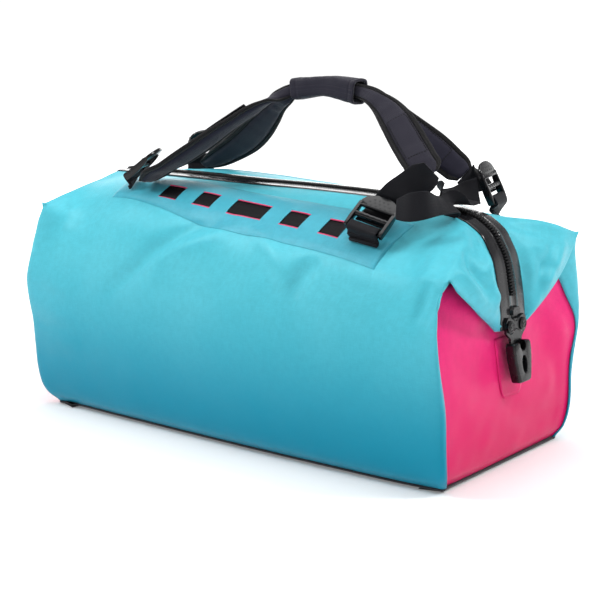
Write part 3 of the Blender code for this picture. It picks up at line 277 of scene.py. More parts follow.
def ridge(end, half, rows):
    """The line where the top turns down into the flap, from ear tip to zip."""
    tip = ear(end, half, [EAR_ROW])[0]
    top, normal = zip_end(end, [0.0])
    foot = top[0] - normal[0] * UNDER
    y = through(np.arange(LAST_ROW + 1), GIRTH[:, 0], rows) * HALF_WIDTH
    widest, beside = GIRTH[EAR_ROW, 0] * HALF_WIDTH, GIRTH[11, 0] * HALF_WIDTH
    share = np.clip((widest - y) / (widest - beside), 0, None)
    short = np.clip(share, 0, 1)
    bow = np.sin(math.pi * short)
    x = tip[0] + (foot[0] - tip[0]) * short + END[end] * bow * 0.006
    z = tip[2] + (foot[2] - tip[2]) * short + bow * RIDGE_BOW[end] * HEIGHT
    across = np.where(share <= 1, np.abs(tip[1]) + (beside - np.abs(tip[1])) * share, y)
    return np.stack([x, HALF[half] * across, z], axis=1)


def section(x_share, width, drop, half, rows):
    """One cross-section of the half girth."""
    top = through(*zip(*ZIP_TOP), [x_share])[0] * HEIGHT - UNDER
    y, z = GIRTH.T * [[HALF_WIDTH], [HEIGHT]]
    z = z + ramp(z, z[4], z[-1] - z[4]) * (top - z[-1]) - DROP * drop * HEIGHT
    y = np.where(np.arange(13) < 11, y * width, y)
    line = np.stack([np.full(13, x_share * HALF_LENGTH), HALF[half] * y, z], axis=1)
    return through(np.arange(13), line, rows)


def main_grid(half, rows, columns):
    """The panel between its ear edges: rows from floor seam to zip, columns 0 to 1 from left to right."""
    low, high = rows[rows < EAR_ROW], rows[rows >= EAR_ROW]
    left, right = [np.concatenate([ear(e, half, low), ridge(e, half, high)]) for e in END]
    drop = 2 if half == "front" else 3
    lines = [left, *[section(s[0], s[1], s[drop], half, rows) for s in SECTIONS], right]
    return np.moveaxis(through([0, *[(s[0] + 1) / 2 for s in SECTIONS], 1], np.array(lines), columns), 0, 1)


def flap_grid(end, half, rows, shares):
    """The flap that folds over the end: its first column is the ridge, its last the zip's foot."""
    tip = ear(end, half, [EAR_ROW])[0]
    outer, normal = zip_end(end, shares)
    under = outer - normal * UNDER
    bow = np.sin(math.pi * shares)
    foot = under[-1] + Y * HALF[half] * FOOT_EDGE
    edge = tip + (foot - tip) * shares[:, None] + bow[:, None] * (END[end] * 0.006, 0, -0.004)
    start = ridge(end, half, rows)
    beside, inner = GIRTH[11, 0] * HALF_WIDTH, GIRTH[12, 0] * HALF_WIDTH
    y_beside = beside + (FOOT_EDGE - beside) * shares
    side = under + Y * (HALF[half] * y_beside)[:, None]
    grid = np.zeros((len(rows), len(shares), 3))
    for i, row in enumerate(rows):
        s = np.clip((abs(tip[1]) - abs(start[i, 1])) / (abs(tip[1]) - beside), 0, 1)
        line = edge + (side - edge) * s
        line[:, 0] += END[end] * math.sin(math.pi * s) * bow * 0.010
        if row > 11:
            line = under.copy()
            y_inner = inner + (FOOT_INNER - inner) * shares
            line[:, 1] = HALF[half] * (y_beside + (y_inner - y_beside) * (row - 11))
        grid[i] = line + (start[i] - line[0]) * np.clip(1 - shares / 0.5, 0, 1)[:, None] ** 1.5
    return grid


def lap_grid(end, half, rows, shares):
    """The return inboard of the ear edge, to the seam of the end panel."""
    edge = ear(end, half, rows)
    steps = np.array(LAPS[half]) * HEIGHT * (END[end], HALF[half], 1)
    grid = edge[:, None] + through(np.arange(EAR_ROW + 1), steps, rows)[:, None] * shares[None, :, None]
    grid[:, :, 0] += END[end] * np.sin(math.pi * shares) * 0.0015
    return grid


# Materials

def feed(tree, socket, value):
    """Links a socket to another, or sets its value."""
    if isinstance(value, bpy.types.NodeSocket):
        tree.links.new(value, socket)
    else:
        socket.default_value = value


def shader(name):
    material = bpy.data.materials.new(name)
    material.use_nodes = True
    return material, material.node_tree, material.node_tree.nodes["Principled BSDF"]


def node(tree, kind, inputs=None, **settings):
    made = tree.nodes.new(kind)
    for key, value in settings.items():
        setattr(made, key, value)
    for key, value in (inputs or {}).items():
        feed(tree, made.inputs[key], value)
    return made


def fixed(bsdf, values):
    """Sets inputs of the shader to plain values."""
    for key, value in values.items():
        bsdf.inputs[key].default_value = value


def maths(tree, operation, *values):
    return node(tree, "ShaderNodeMath", dict(enumerate(values)), operation=operation).outputs[0]


def ripple(tree, value, pitch):
    return maths(tree, "SINE", maths(tree, "MULTIPLY", value, 2 * math.pi / pitch))


def clouds(tree, place, scale, detail):
    return node(tree, "ShaderNodeTexNoise", {"Vector": place, "Scale": scale, "Detail": detail}).outputs[0]


def span(tree, value, low, high, to_low=0.0, to_high=1.0, **settings):
    """One range of a value mapped onto another."""
    ends = {"Value": value, "From Min": low, "From Max": high, "To Min": to_low, "To Max": to_high}
    return node(tree, "ShaderNodeMapRange", ends, **settings).outputs[0]


def blend_colour(tree, fac, a, b):
    return node(tree, "ShaderNodeMix", {0: fac, 6: a, 7: b}, data_type="RGBA").outputs[2]


def linear(rgb, share=1.0):
    """A share of an 8-bit display colour as shader values."""
    scaled = [c * share for c in rgb]
    return tuple(((c / 255 + 0.055) / 1.055) ** 2.4 if c > 10 else c / 255 / 12.92 for c in scaled) + (1.0,)


def finish_bump(tree, bsdf, heights):
    """Bumps chained one on another: height socket, strength, distance."""
    last = None
    for height, strength, distance in heights:
        bump = node(tree, "ShaderNodeBump", {"Height": height, "Strength": strength, "Distance": distance})
        if last is not None:
            tree.links.new(last, bump.inputs["Normal"])
        last = bump.outputs[0]
    tree.links.new(last, bsdf.inputs["Normal"])


def surface(tree):
    """Both ways across the cloth in metres, and the place in space."""
    uv = node(tree, "ShaderNodeUVMap", uv_map="metres").outputs[0]
    part = node(tree, "ShaderNodeSeparateXYZ", {"Vector": uv})
    return uv, part.outputs[0], part.outputs[1], node(tree, "ShaderNodeTexCoord").outputs["Object"]


def coated(name, light, deep, rough, weave=0.00042, sheen=0.25, relief=0.00004, low=None, tint=(1, 1, 1)):
    """Cloth with a satin coating: fine plain weave telegraphing through, faint clouding and rub marks, and,
    where a low colour is given, painted shade towards the floor.
    """
    material, tree, bsdf = shader(name)
    uv, u, v, place = surface(tree)
    cloud, fine = clouds(tree, place, 7.0, 3.0), clouds(tree, place, 130.0, 4.0)
    grain = maths(tree, "MULTIPLY", ripple(tree, u, weave), ripple(tree, v, weave))
    colour = blend_colour(tree, span(tree, cloud, 0.3, 0.7), linear(light), linear(deep))
    colour = blend_colour(tree, span(tree, fine, 0.35, 0.65, 0.0, 0.16), colour, linear(deep, 0.80))
    # Uneven threads of the base cloth show through the coating, both ways
    slubs = []
    for stretch in ((1500, 90, 1), (90, 1500, 1)):
        scaled = node(tree, "ShaderNodeMapping", {"Vector": uv, "Scale": stretch}).outputs[0]
        slubs.append(clouds(tree, scaled, 1.0, 2.0))
    slub = maths(tree, "ADD", *slubs)
    colour = blend_colour(tree, span(tree, slub, 0.75, 1.25, 0.0, 0.22), colour, linear(deep, 0.72))
    if low:
        # Painted shade: the colour is deeper towards the floor, standing in for the shading low on the cloth
        tall = node(tree, "ShaderNodeSeparateXYZ", {"Vector": place}).outputs[2]
        near = span(tree, tall, 0.215, 0.02, interpolation_type="SMOOTHSTEP")
        colour = blend_colour(tree, near, colour, linear(low))
    feed(tree, bsdf.inputs["Base Color"], colour)
    feed(tree, bsdf.inputs["Roughness"], span(tree, cloud, 0.3, 0.7, rough - 0.05, rough + 0.06))
    fixed(bsdf, {"Sheen Weight": sheen, "Sheen Roughness": 0.5, "Sheen Tint": (*tint, 1)})
    fixed(bsdf, {"Specular Tint": (*tint, 1), "Specular IOR Level": 0.20})
    bumps = [(grain, 0.35, relief), (slub, 0.35, 0.00010), (fine, 0.25, 0.00012), (cloud, 0.3, 0.002)]
    finish_bump(tree, bsdf, bumps)
    return material


def woven(name, light, dark, pitch_u, pitch_v, rough, sheen, relief):
    """Webbing or binding: ribs across and along."""
    material, tree, bsdf = shader(name)
    _, u, v, place = surface(tree)
    fine, cloud = clouds(tree, place, 900.0, 2.0), clouds(tree, place, 40.0, 3.0)
    a, b = ripple(tree, u, pitch_u), ripple(tree, v, pitch_v)
    grain = maths(tree, "ADD", maths(tree, "MULTIPLY", a, b), maths(tree, "MULTIPLY", b, 0.8))
    colour = blend_colour(tree, maths(tree, "MULTIPLY_ADD", grain, 0.22, 0.5), linear(dark), linear(light))
    colour = blend_colour(tree, maths(tree, "MULTIPLY", cloud, 0.3), colour, linear(dark))
    feed(tree, bsdf.inputs["Base Color"], colour)
    fixed(bsdf, {"Roughness": rough, "Sheen Weight": sheen, "Sheen Roughness": 0.4, "Specular IOR Level": 0.15})
    finish_bump(tree, bsdf, [(grain, 0.8, relief), (fine, 0.3, 0.00015)])
    return material


def moulded(name, colour, rough, grain=0.00006, coat=0.0):
    """Moulded plastic or rubber with a fine texture and worn, slightly lighter patches."""
    material, tree, bsdf = shader(name)
    place = node(tree, "ShaderNodeTexCoord").outputs["Object"]
    fine, cloud = clouds(tree, place, 1400.0, 2.0), clouds(tree, place, 60.0, 4.0)
    worn = linear([c + 14 for c in colour])
    colour = blend_colour(tree, span(tree, cloud, 0.45, 0.75, 0.0, 0.5), linear(colour), worn)
    feed(tree, bsdf.inputs["Base Color"], colour)
    feed(tree, bsdf.inputs["Roughness"], span(tree, cloud, 0.3, 0.7, rough - 0.05, rough + 0.08))
    fixed(bsdf, {"Specular IOR Level": 0.28, "Coat Weight": coat, "Coat Roughness": 0.15})
    finish_bump(tree, bsdf, [(fine, 0.35, grain), (cloud, 0.15, 0.00012)])
    return material


# The low colours are painted shade, deepening the turquoise and pink cloth towards the floor
TURQUOISE = coated("turquoise coated cloth", (90, 190, 206), (74, 182, 199), 0.34, sheen=0.06,
                   low=(0, 130, 158), tint=(0.55, 0.92, 1.0))
PINK = coated("pink coated cloth", (240, 54, 130), (234, 42, 120), 0.34, sheen=0.06, low=(206, 8, 90),
              tint=(1.0, 0.45, 0.65))
FLOOR = coated("dark floor cloth", (52, 52, 58), (40, 40, 46), 0.6, weave=0.0011, relief=0.0001)
FILM = coated("welded film", (74, 168, 188), (60, 158, 178), 0.30, sheen=0.1, tint=(0.6, 0.9, 1.0))
EDGE = coated("pink cut edge", (214, 40, 100), (196, 30, 90), 0.5)
TAPE = moulded("zip rubber", (17, 17, 20), 0.24, grain=0.00002, coat=0.45)
TEETH = moulded("zip teeth", (12, 12, 14), 0.6)
HARD = moulded("ladder lock plastic", (11, 12, 15), 0.20, coat=0.15)
CLIP = moulded("end clip plastic", (12, 12, 15), 0.26, coat=0.1)
SOCKET = moulded("socket plastic", (11, 11, 13), 0.24, coat=0.15)
THREAD = moulded("thread", (10, 10, 13), 0.75)
WEB = woven("webbing", (21, 21, 27), (11, 11, 15), 0.0016, 0.0011, 0.62, 0.04, 0.00006)
# A darker copy of the webbing for the daisy chain: painted shade where it sits in the film's windows
SHADED_DAISY_WEB = woven("flat webbing, painted shade", (12, 12, 16), (5, 5, 8), 0.0016, 0.0011, 0.6, 0.0, 0.00006)
BIND = woven("ribbed binding", (34, 33, 35), (14, 14, 15), 0.0030, 0.0016, 0.82, 0.1, 0.00025)
PAD = woven("spacer cloth", (47, 45, 57), (30, 29, 38), 0.0014, 0.0014, 0.8, 0.15, 0.00012)
LINING = woven("inner strap cloth", (38, 36, 52), (24, 23, 35), 0.0010, 0.0010, 0.7, 0.2, 0.00008)


# Making pieces

def relax(points, edges, weight, times):
    """Evens out points between their neighbours, by a weight for each."""
    count = np.bincount(edges.ravel(), minlength=len(points))[:, None]
    for _ in range(times):
        total = np.zeros_like(points)
        np.add.at(total, edges[:, 0], points[edges[:, 1]])
        np.add.at(total, edges[:, 1], points[edges[:, 0]])
        points = points + weight[:, None] * (total / np.maximum(count, 1) - points)
    return points


def fold_height(points, folds):
    """How far the folds lift each point."""
    lift = np.zeros(len(points))
    for *stroke, width, depth in folds:
        line = through(np.arange(len(stroke)), stroke, np.linspace(0, len(stroke) - 1, 24))
        near, where = np.full(len(points), 9.0), np.zeros(len(points))
        for k in range(len(line) - 1):
            a, ab = line[k], line[k + 1] - line[k]
            s = np.clip(((points - a) @ ab) / (ab @ ab), 0, 1)
            d = np.linalg.norm(points - a - s[:, None] * ab, axis=1)
            hit = d < near
            near[hit], where[hit] = d[hit], ((k + s) / (len(line) - 1))[hit]
        ends = np.sin(math.pi * np.clip(where, 0.02, 0.98)) ** 0.6
        lift += FOLD_GAIN * depth * np.exp(-(near / width) ** 2) * ends
    return lift


def waves(points, size, seed):
    return np.array([noise.noise(Vector(p / size) + Vector((seed, seed * 2.7, -seed))) for p in points])


def quads(rows, columns, flip=False, start=0, keep=None, loop=False):
    """The faces of a grid of points, open or closed round each row."""
    faces = []
    for i in range(rows - 1):
        for j in range(columns if loop else columns - 1):
            if keep is None or keep(i, j):
                k = (j + 1) % columns
                a, b = start + i * columns, start + (i + 1) * columns
                face = (a + j, a + k, b + k, b + j)
                faces.append(face[::-1] if flip else face)
    return faces


def capped(rows, n, start=0):
    """The faces of stacked loops of n points, with a face over each end."""
    last = start + (rows - 1) * n
    ends = [tuple(range(start, start + n))[::-1], tuple(range(last, last + n))]
    return quads(rows, n, start=start, loop=True) + ends


def outward(points, faces):
    """A closed solid's faces, turned over if they look inward."""
    co = np.asarray(points) - np.mean(points, axis=0)
    volume = sum(np.dot(co[f[0]], np.cross(co[f[k]], co[f[k + 1]]))
                 for f in faces for k in range(1, len(f) - 1))
    return faces if volume > 0 else [f[::-1] for f in faces]


def grid_uv(grid):
    """Rows and columns of a grid in metres."""
    down = np.cumsum(np.linalg.norm(np.diff(grid, axis=0, prepend=grid[:1]), axis=2), axis=0)
    over = np.cumsum(np.linalg.norm(np.diff(grid, axis=1, prepend=grid[:, :1]), axis=2), axis=1)
    return np.stack([over, down], axis=2).reshape(-1, 2)


def rounded(obj, width, segments, degrees):
    bevel = obj.modifiers.new("Edges", "BEVEL")
    bevel.width, bevel.segments, bevel.limit_method = width, segments, "ANGLE"
    bevel.angle_limit = math.radians(degrees)


def mesh_object(name, points, faces):
    mesh = bpy.data.meshes.new(name)
    mesh.from_pydata((np.asarray(points, float) + CENTRING).tolist(), [], [tuple(map(int, f)) for f in faces])
    obj = bpy.data.objects.new(name, mesh)
    bpy.context.scene.collection.objects.link(obj)
    return obj


def piece(name, points, faces, materials, node_name=None, uv=None, index=None, thick=0.0, smooth=True):
    """A visible piece on the root body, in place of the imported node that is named."""
    obj = mesh_object(name, points, faces)
    mesh = obj.data
    if index is not None:
        mesh.polygons.foreach_set("material_index", np.asarray(index, int))
    if uv is not None:
        layer = mesh.uv_layers.new(name="metres")
        verts = np.zeros(len(mesh.loops), int)
        mesh.loops.foreach_get("vertex_index", verts)
        layer.data.foreach_set("uv", np.asarray(uv, float)[verts].ravel())
    for material in materials if isinstance(materials, list) else [materials]:
        mesh.materials.append(material)
    mesh.polygons.foreach_set("use_smooth", [smooth] * len(mesh.polygons))
    if thick:
        solid = obj.modifiers.new("Thickness", "SOLIDIFY")
        solid.thickness, solid.offset, solid.use_even_offset = thick, -1, False
    mesh.update()
    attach(obj, "root")
    if node_name:
        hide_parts(node_name)
    return obj


# Side panels
ROWS = np.linspace(0, LAST_ROW, LAST_ROW * ROW_STEPS + 1)
FLAP = np.linspace(0, 1, 45)
LOW, HIGH = ROWS[ROWS <= EAR_ROW], ROWS[ROWS >= EAR_ROW]
MAIN = {half: main_grid(half, ROWS, np.linspace(0, 1, 211)) for half in HALF}
FLAPS = {(e, h): flap_grid(e, h, HIGH, FLAP) for e in END for h in HALF}
RETURNS = {(e, h): lap_grid(e, h, LOW, np.linspace(0, 1, 8)) for e in END for h in HALF}


def hem(end, half):
    """The flap's lower edge, rolled under."""
    grid = FLAPS[end, half]
    edge, inward = grid[0], unit(grid[3] - grid[0])
    deep = np.clip(FLAP * 6, 0, 1)[:, None]
    out = np.array([END[end], 0, 0])
    turns = [(0.0023 * (1 - math.cos(t)), -0.0023 * math.sin(t)) for t in np.linspace(0, math.pi, 9)]
    turns += [(0.0047, 0.002), (0.0048, 0.0055), (0.0048, 0.009)]
    return np.array([edge - out * back * deep + inward * up * deep for back, up in turns[::-1]])


def fans(end, half):
    """Small folds that fan out over a flap from the zip's bend."""
    grid, made = FLAPS[end, half], []
    seed = 2 * END[end] + HALF[half]
    for k, (a, b, depth) in enumerate(FANS):
        a, b = a + 0.02 * math.sin(2.3 * k + seed), b + 0.03 * math.sin(1.7 * k - seed)
        stroke = []
        for row, t in ((11.0, 0.0), (10.0, 0.4), (8.9 - 0.3 * (k % 2), 0.8), (7.9 + 0.5 * (k % 3), 1.0)):
            share = np.clip(a + (b - a) * t, 0, 1)
            i, j = int(round((row - EAR_ROW) * ROW_STEPS)), int(round(share * (len(FLAP) - 1)))
            stroke.append(tuple(grid[i, j]))
        made.append((*stroke, 0.0050 + 0.0010 * (k % 2), FAN_GAIN * depth))
    return made


def joined(grids):
    """Grids, each with its turn, as one mesh welded by place: points, faces, uv and where each point went."""
    points, faces, uv = [], [], []
    for k, (grid, turn) in enumerate(grids):
        faces += quads(*grid.shape[:2], turn, len(points))
        points += list(grid.reshape(-1, 3))
        uv.append(grid_uv(grid) + (k * 0.7, 0))
    points = np.array(points)
    key = np.round(points * 2e4).astype(int)
    _, first, back = np.unique(key, axis=0, return_index=True, return_inverse=True)
    back = back.ravel()
    loops = [list(dict.fromkeys(back[list(face)])) for face in faces]
    return points[first], [loop for loop in loops if len(loop) > 2], np.concatenate(uv)[first], back


def distance(points, lines):
    return np.min(np.linalg.norm(points[:, None] - np.concatenate(lines)[None], axis=2), axis=1)


def side_panel(half):
    """A half shell with its flaps and laps, rounded at its corners and folded."""
    flip = half == "rear"
    grids = [(MAIN[half], flip)]
    for end in END:
        turn = flip if end == "right" else not flip
        grids += [(grid, turn) for grid in (FLAPS[end, half], RETURNS[end, half], hem(end, half))]
    points, faces, uv, back = joined(grids)
    uses = Counter(tuple(sorted((f[i], f[i - 1]))) for f in faces for i in range(len(f)))
    edges = np.array(list(uses))
    free = np.ones(len(points))
    free[[v for edge, count in uses.items() if count == 1 for v in edge]] = 0
    bends = [ridge(e, half, HIGH[HIGH <= 11.2]) for e in END] + [ear(e, half, LOW) for e in END]
    near = distance(points, bends)
    points = relax(points, edges, free * 0.5 * np.clip(1.4 - near / 0.012, 0, 1), 9)
    near = distance(points, [ear(e, half, LOW[LOW <= 6.2]) for e in END])
    points = relax(points, edges, free * 0.5 * np.clip(1.5 - near / 0.016, 0, 1), 16)
    normal = np.zeros_like(points)
    for face in faces:
        normal[face] += np.cross(points[face[1]] - points[face[0]], points[face[2]] - points[face[0]])
    # Soft waves, then folds; the rear side has the front one's, mirrored and shallower
    from_zip = np.abs(points[:, 1])
    soft = 0.0011 * waves(points, 0.075, 3.1 + HALF[half]) + 0.0004 * waves(points, 0.032, 7.7)
    small = waves(points * (0.6, 1.0, 1.5), 0.030, 5.3 + HALF[half])
    soft += ramp(np.abs(points[:, 0]), 0.19, 0.10) * 0.0005 * small
    if half == "rear":
        soft += MIRROR_GAIN * fold_height(points * (1, -1, 1), SIDE_FOLDS)
    folds = fold_height(points, SIDE_FOLDS + FLAP_FOLDS) + fold_height(points * (-1, 1, 1), FLAP_FOLDS)
    folds += sum(fold_height(points, fans(end, half)) for end in END)
    hold = ramp(from_zip, 0.030, 0.02) * ramp(points[:, 2], 0.008, 0.02)
    lift = hold * soft + ramp(from_zip, 0.029, 0.024) * folds
    return points + unit(normal) * (free * lift)[:, None], faces, uv, back


SURFACE = {}
for half in HALF:
    points, faces, uv, back = side_panel(half)
    rows, columns = MAIN[half].shape[:2]
    SURFACE[half] = points[back[:rows * columns]].reshape(MAIN[half].shape)
    piece(f"side_{half}_cloth", points, faces, TURQUOISE, f"side_{half}", uv, thick=WALL)


def on_side(half, x, run):
    """A point of a side panel's outer face and its normal: x, and the distance down from the zip's middle."""
    grid = SURFACE[half]
    column = float(np.interp(x, grid[-2, :, 0], np.arange(grid.shape[1])))

    def at(c, r):
        c = min(max(c, 0), grid.shape[1] - 1.001)
        a, t = int(c), c - int(c)
        line = (grid[:, a] * (1 - t) + grid[:, a + 1] * t)[::-1]
        return sample(line, run_of(line) + abs(line[0, 1]), r)

    along, down = at(column + 1, run) - at(column - 1, run), at(column, run + 0.003) - at(column, run - 0.003)
    normal = unit(np.cross(along, down))
    return at(column, run), normal if normal[2] > 0 else -normal


# End panels
def end_panel(end):
    """An end panel's grid, from under one lap to under the other."""
    side, under = END[end], {}
    for half in HALF:
        lap = RETURNS[end, half]
        normal = np.cross(unit(lap[:, -1] - lap[:, -2]), unit(np.gradient(lap[:, -1], axis=0)))
        under[half] = -unit(normal * np.sign(normal[:, :1]) * side) * (WALL + 0.0002)
    shares = np.linspace(0, 1, 61)[1:-1]
    bulge = 1 - (1 - np.clip(np.minimum(shares, 1 - shares) / 0.27, 0, 1)) ** 1.6
    bellies = through(np.arange(EAR_ROW + 1), END_BELLY, LOW) * HALF_LENGTH * side
    lines = []
    for i, belly in enumerate(bellies):
        seams = []
        for half in HALF:
            lap = RETURNS[end, half][i]
            out = unit(lap[-2] - lap[-1])
            seams.append([lap[-1] + out * far + under[half][i] for far in (0.0022, -0.003)])
        (first, a), (last, b) = seams
        middle = a + (b - a) * shares[:, None]
        middle[:, 0] += (belly - middle[:, 0]) * bulge
        lines.append([first, a, *middle, b, last])
    grid = np.array(lines)
    points = grid.reshape(-1, 3)
    tangent = np.cross(np.gradient(grid, axis=1), np.gradient(grid, axis=0)).reshape(-1, 3)
    normal = unit(tangent * np.sign(tangent[:, :1]) * side)
    y, z = grid[..., 1], grid[..., 2]
    from_seam = np.minimum(np.abs(y - y[:, :1]), np.abs(y - y[:, -1:]))
    hold = (ramp(z, 0.008, 0.02) * ramp(from_seam, 0.006, 0.02)).ravel()
    # The cloth is flat where the socket's patch is welded on
    flat = np.exp(-(np.clip(np.abs(y) - 0.022, 0, 9) / 0.014) ** 2)
    flat = (flat * ramp(z, 0.070, 0.02) * (1 - ramp(z, 0.155, 0.02))).ravel()
    lift = 0.0018 * waves(points, 0.060, 11.0 + side) + 0.0010 * waves(points, 0.027, 4.0)
    lift += fold_height(points * (side, 1, 1), END_FOLDS)
    lift = lift * hold * (1 - flat) - 0.0003 * flat
    return (points + normal * lift[:, None]).reshape(grid.shape)


ENDS = {end: end_panel(end) for end in END}
for end, grid in ENDS.items():
    piece(f"end_{end}_cloth", grid.reshape(-1, 3), quads(*grid.shape[:2], end == "left"), PINK,
          f"end_{end}", grid_uv(grid), thick=WALL)


# Floor panel
def floor_outline(inset, z):
    """The seam's line round the floor, drawn in."""
    laps = {key: grid[0] for key, grid in RETURNS.items()}
    loop = np.array([*MAIN["front"][0], *laps["right", "front"][1:], *laps["right", "rear"][:0:-1],
                     *MAIN["rear"][0][::-1], *laps["left", "rear"][1:], *laps["left", "front"][:0:-1]])[:, :2]
    ahead = np.roll(loop, -1, axis=0) - np.roll(loop, 1, axis=0)
    normal = unit(np.stack([ahead[:, 1], -ahead[:, 0]], axis=1))
    normal *= np.sign(((loop - loop.mean(axis=0)) * normal).sum(axis=1, keepdims=True))
    return np.column_stack([loop - normal * inset, np.full(len(loop), z)])


FLOOR_RIM = [
    (0.030, 0.0006), (0.008, 0.0), (0.0035, 0.0004), (0.0012, 0.0014), (0.0002, 0.0028),
    (0.0004, 0.0038), (0.0018, BASE_T), (0.030, BASE_T),
]
loops = [floor_outline(*step) for step in FLOOR_RIM]
points = np.concatenate(loops)
piece("base_cloth", points, capped(len(loops), len(loops[0])), FLOOR, "base", points[:, :2])


# Zip
def zip_line(lift):
    """The zip's line from end to end at a height over the cloth, with its normals."""
    left, right = FLAPS["left", "front"][-1][::-1], FLAPS["right", "front"][-1]
    line = np.concatenate([left[:-1], MAIN["front"][-1], right[1:]])
    line[:, 1] = 0
    ahead = np.gradient(line, axis=0)
    normal = unit(np.stack([-ahead[:, 2], np.zeros(len(line)), ahead[:, 0]], axis=1))
    return line + normal * lift, normal


def swept(name, centres, across, normals, profile, materials, node_name, index=None,
          width=2.0, thick=2.0):
    """A closed profile swept along a line, in metres or as shares of half the width and thickness given."""
    profile = np.asarray(profile, float)
    count, n = len(centres), len(profile)
    u = profile[:, 0] * (np.broadcast_to(width, count) / 2)[:, None]
    h = profile[:, 1] * (np.broadcast_to(thick, count) / 2)[:, None]
    points = centres[:, None] + across[:, None] * u[..., None] + normals[:, None] * h[..., None]
    points = points.reshape(-1, 3)
    uv = np.stack([u, np.broadcast_to(run_of(centres)[:, None], (count, n))], axis=2).reshape(-1, 2)
    marks = list(np.tile(np.zeros(n) if index is None else index, count - 1)) + [0, 0]
    return piece(name, points, outward(points, capped(count, n)), materials, node_name, uv, marks)


line, normal = zip_line(GAP)
TAPE_EDGE = TAPE_W / 2
TAPE_TOP = [(TAPE_EDGE, 0.0006), (0.0250, 0.0011), (0.0235, 0.0014), (0.0125, 0.0014), (0.0092, 0.0015),
            (0.0084, 0.0018), (0.0074, 0.0020), (0.0064, 0.0019), (0.0058, 0.0016), (0.0054, 0.0014)]
profile = [(TAPE_EDGE, 0.0)] + TAPE_TOP + [(-y, h) for y, h in TAPE_TOP[::-1]] + [(-TAPE_EDGE, 0.0)]
swept("zip_tape_rubber", line, np.tile(-Y, (len(line), 1)), normal, profile, TAPE, "zip_tape")

# Teeth, turn about from either side, between the zip's last stations
TOOTH_PITCH, TOOTH_LAST = 0.0034, 0.26
line, normal = zip_line(GAP + TAPE_T)
run = run_of(line)
last = TOOTH_LAST * (len(FLAP) - 1)
left_end, right_end = np.interp((last, len(run) - 1 - last), np.arange(len(run)), run)
points, faces = [], []
for k, s in enumerate(np.arange(left_end + TOOTH_PITCH / 2, right_end, TOOTH_PITCH / 2)):
    c, h = sample(line, run, s), unit(sample(normal, run, s))
    v = np.cross(h, Y)
    a, b = (-0.0014, 0.0050) if k % 2 else (-0.0050, 0.0014)
    faces += capped(3, 4, len(points))
    for height, draw in ((-0.0002, 0.0), (0.0015, 0.0), (0.0022, 0.0004)):
        for y, t in ((a, -0.0008), (b, -0.00105), (b, 0.00105), (a, 0.0008)):
            y, t = y - math.copysign(draw, y - (a + b) / 2), t - math.copysign(draw, t)
            points.append(c + Y * y + v * t + h * (0.0003 + height))
piece("zip_teeth_row", points, outward(points, faces), TEETH, "zip_teeth", smooth=False)


# Patches and daisy chains
def patch_run(i, x_share):
    """How far down from the zip a line of the patch runs."""
    inner = [np.interp(x_share, PATCH_X, row[:2]) for row in PATCH_ROWS]
    edge = np.interp(x_share, *zip(*PATCH_EDGE))
    return np.interp(i, np.arange(7), [*inner[:5], (inner[4] + edge) / 2, edge])


def fine_cuts():
    """Stations along the patch, with a few close ones at each window's sides."""
    cuts = set(np.linspace(PATCH_X[0], PATCH_X[1], 121).round(4))
    for c, w in WINDOWS:
        for s in (-1, 1):
            edge = c + s * w / 2
            cuts = {x for x in cuts if abs(x - edge) > 0.006}
            cuts |= {round(edge, 4), round(edge + s * 0.0045, 4), round(edge + s * 0.0075, 4)}
    return np.array(sorted(cuts))


CUTS = fine_cuts()
PATCH_LINES = np.array([0, 0.12, 0.3, 0.6, 1, 1.4, 1.7, 1.88, 2, 2.5, 3, 3.5, 4, 4.13, 4.3, 4.6, 5,
                        5.4, 5.8, 5.95, 6])
CHAIN_X = (-0.585, 0.605)
centres, widths = np.array(WINDOWS).T
in_window = (np.abs((CUTS[1:] + CUTS[:-1])[:, None] / 2 - centres) < widths / 2).any(axis=1)
# The film stands off over the chain, most beside the windows, and is welded down flush at its rim
stand = np.interp(PATCH_LINES, np.arange(7), [r[2] for r in PATCH_ROWS])[:, None]
bridge = np.clip(1 - ((CUTS[:, None] - centres) / (widths / 2 + 0.012)) ** 2, 0, 1).max(axis=1)
over_chain = ((PATCH_LINES > 1) & (PATCH_LINES < 5))[:, None]
lift = np.where(over_chain, 0.0014 + (stand - 0.0014) * (0.55 + 0.45 * bridge), stand) + PATCH_T
rim = np.minimum(np.minimum(CUTS - CUTS[0], CUTS[-1] - CUTS)[None] / 0.02,
                 np.minimum(PATCH_LINES, 6 - PATCH_LINES)[:, None] / 0.45)
rim = np.clip(rim, 0, 1)
lift = lift * rim + 0.00035 * (1 - rim)


def kept(i, j):
    return not (2 <= PATCH_LINES[i] < 4 and in_window[j])


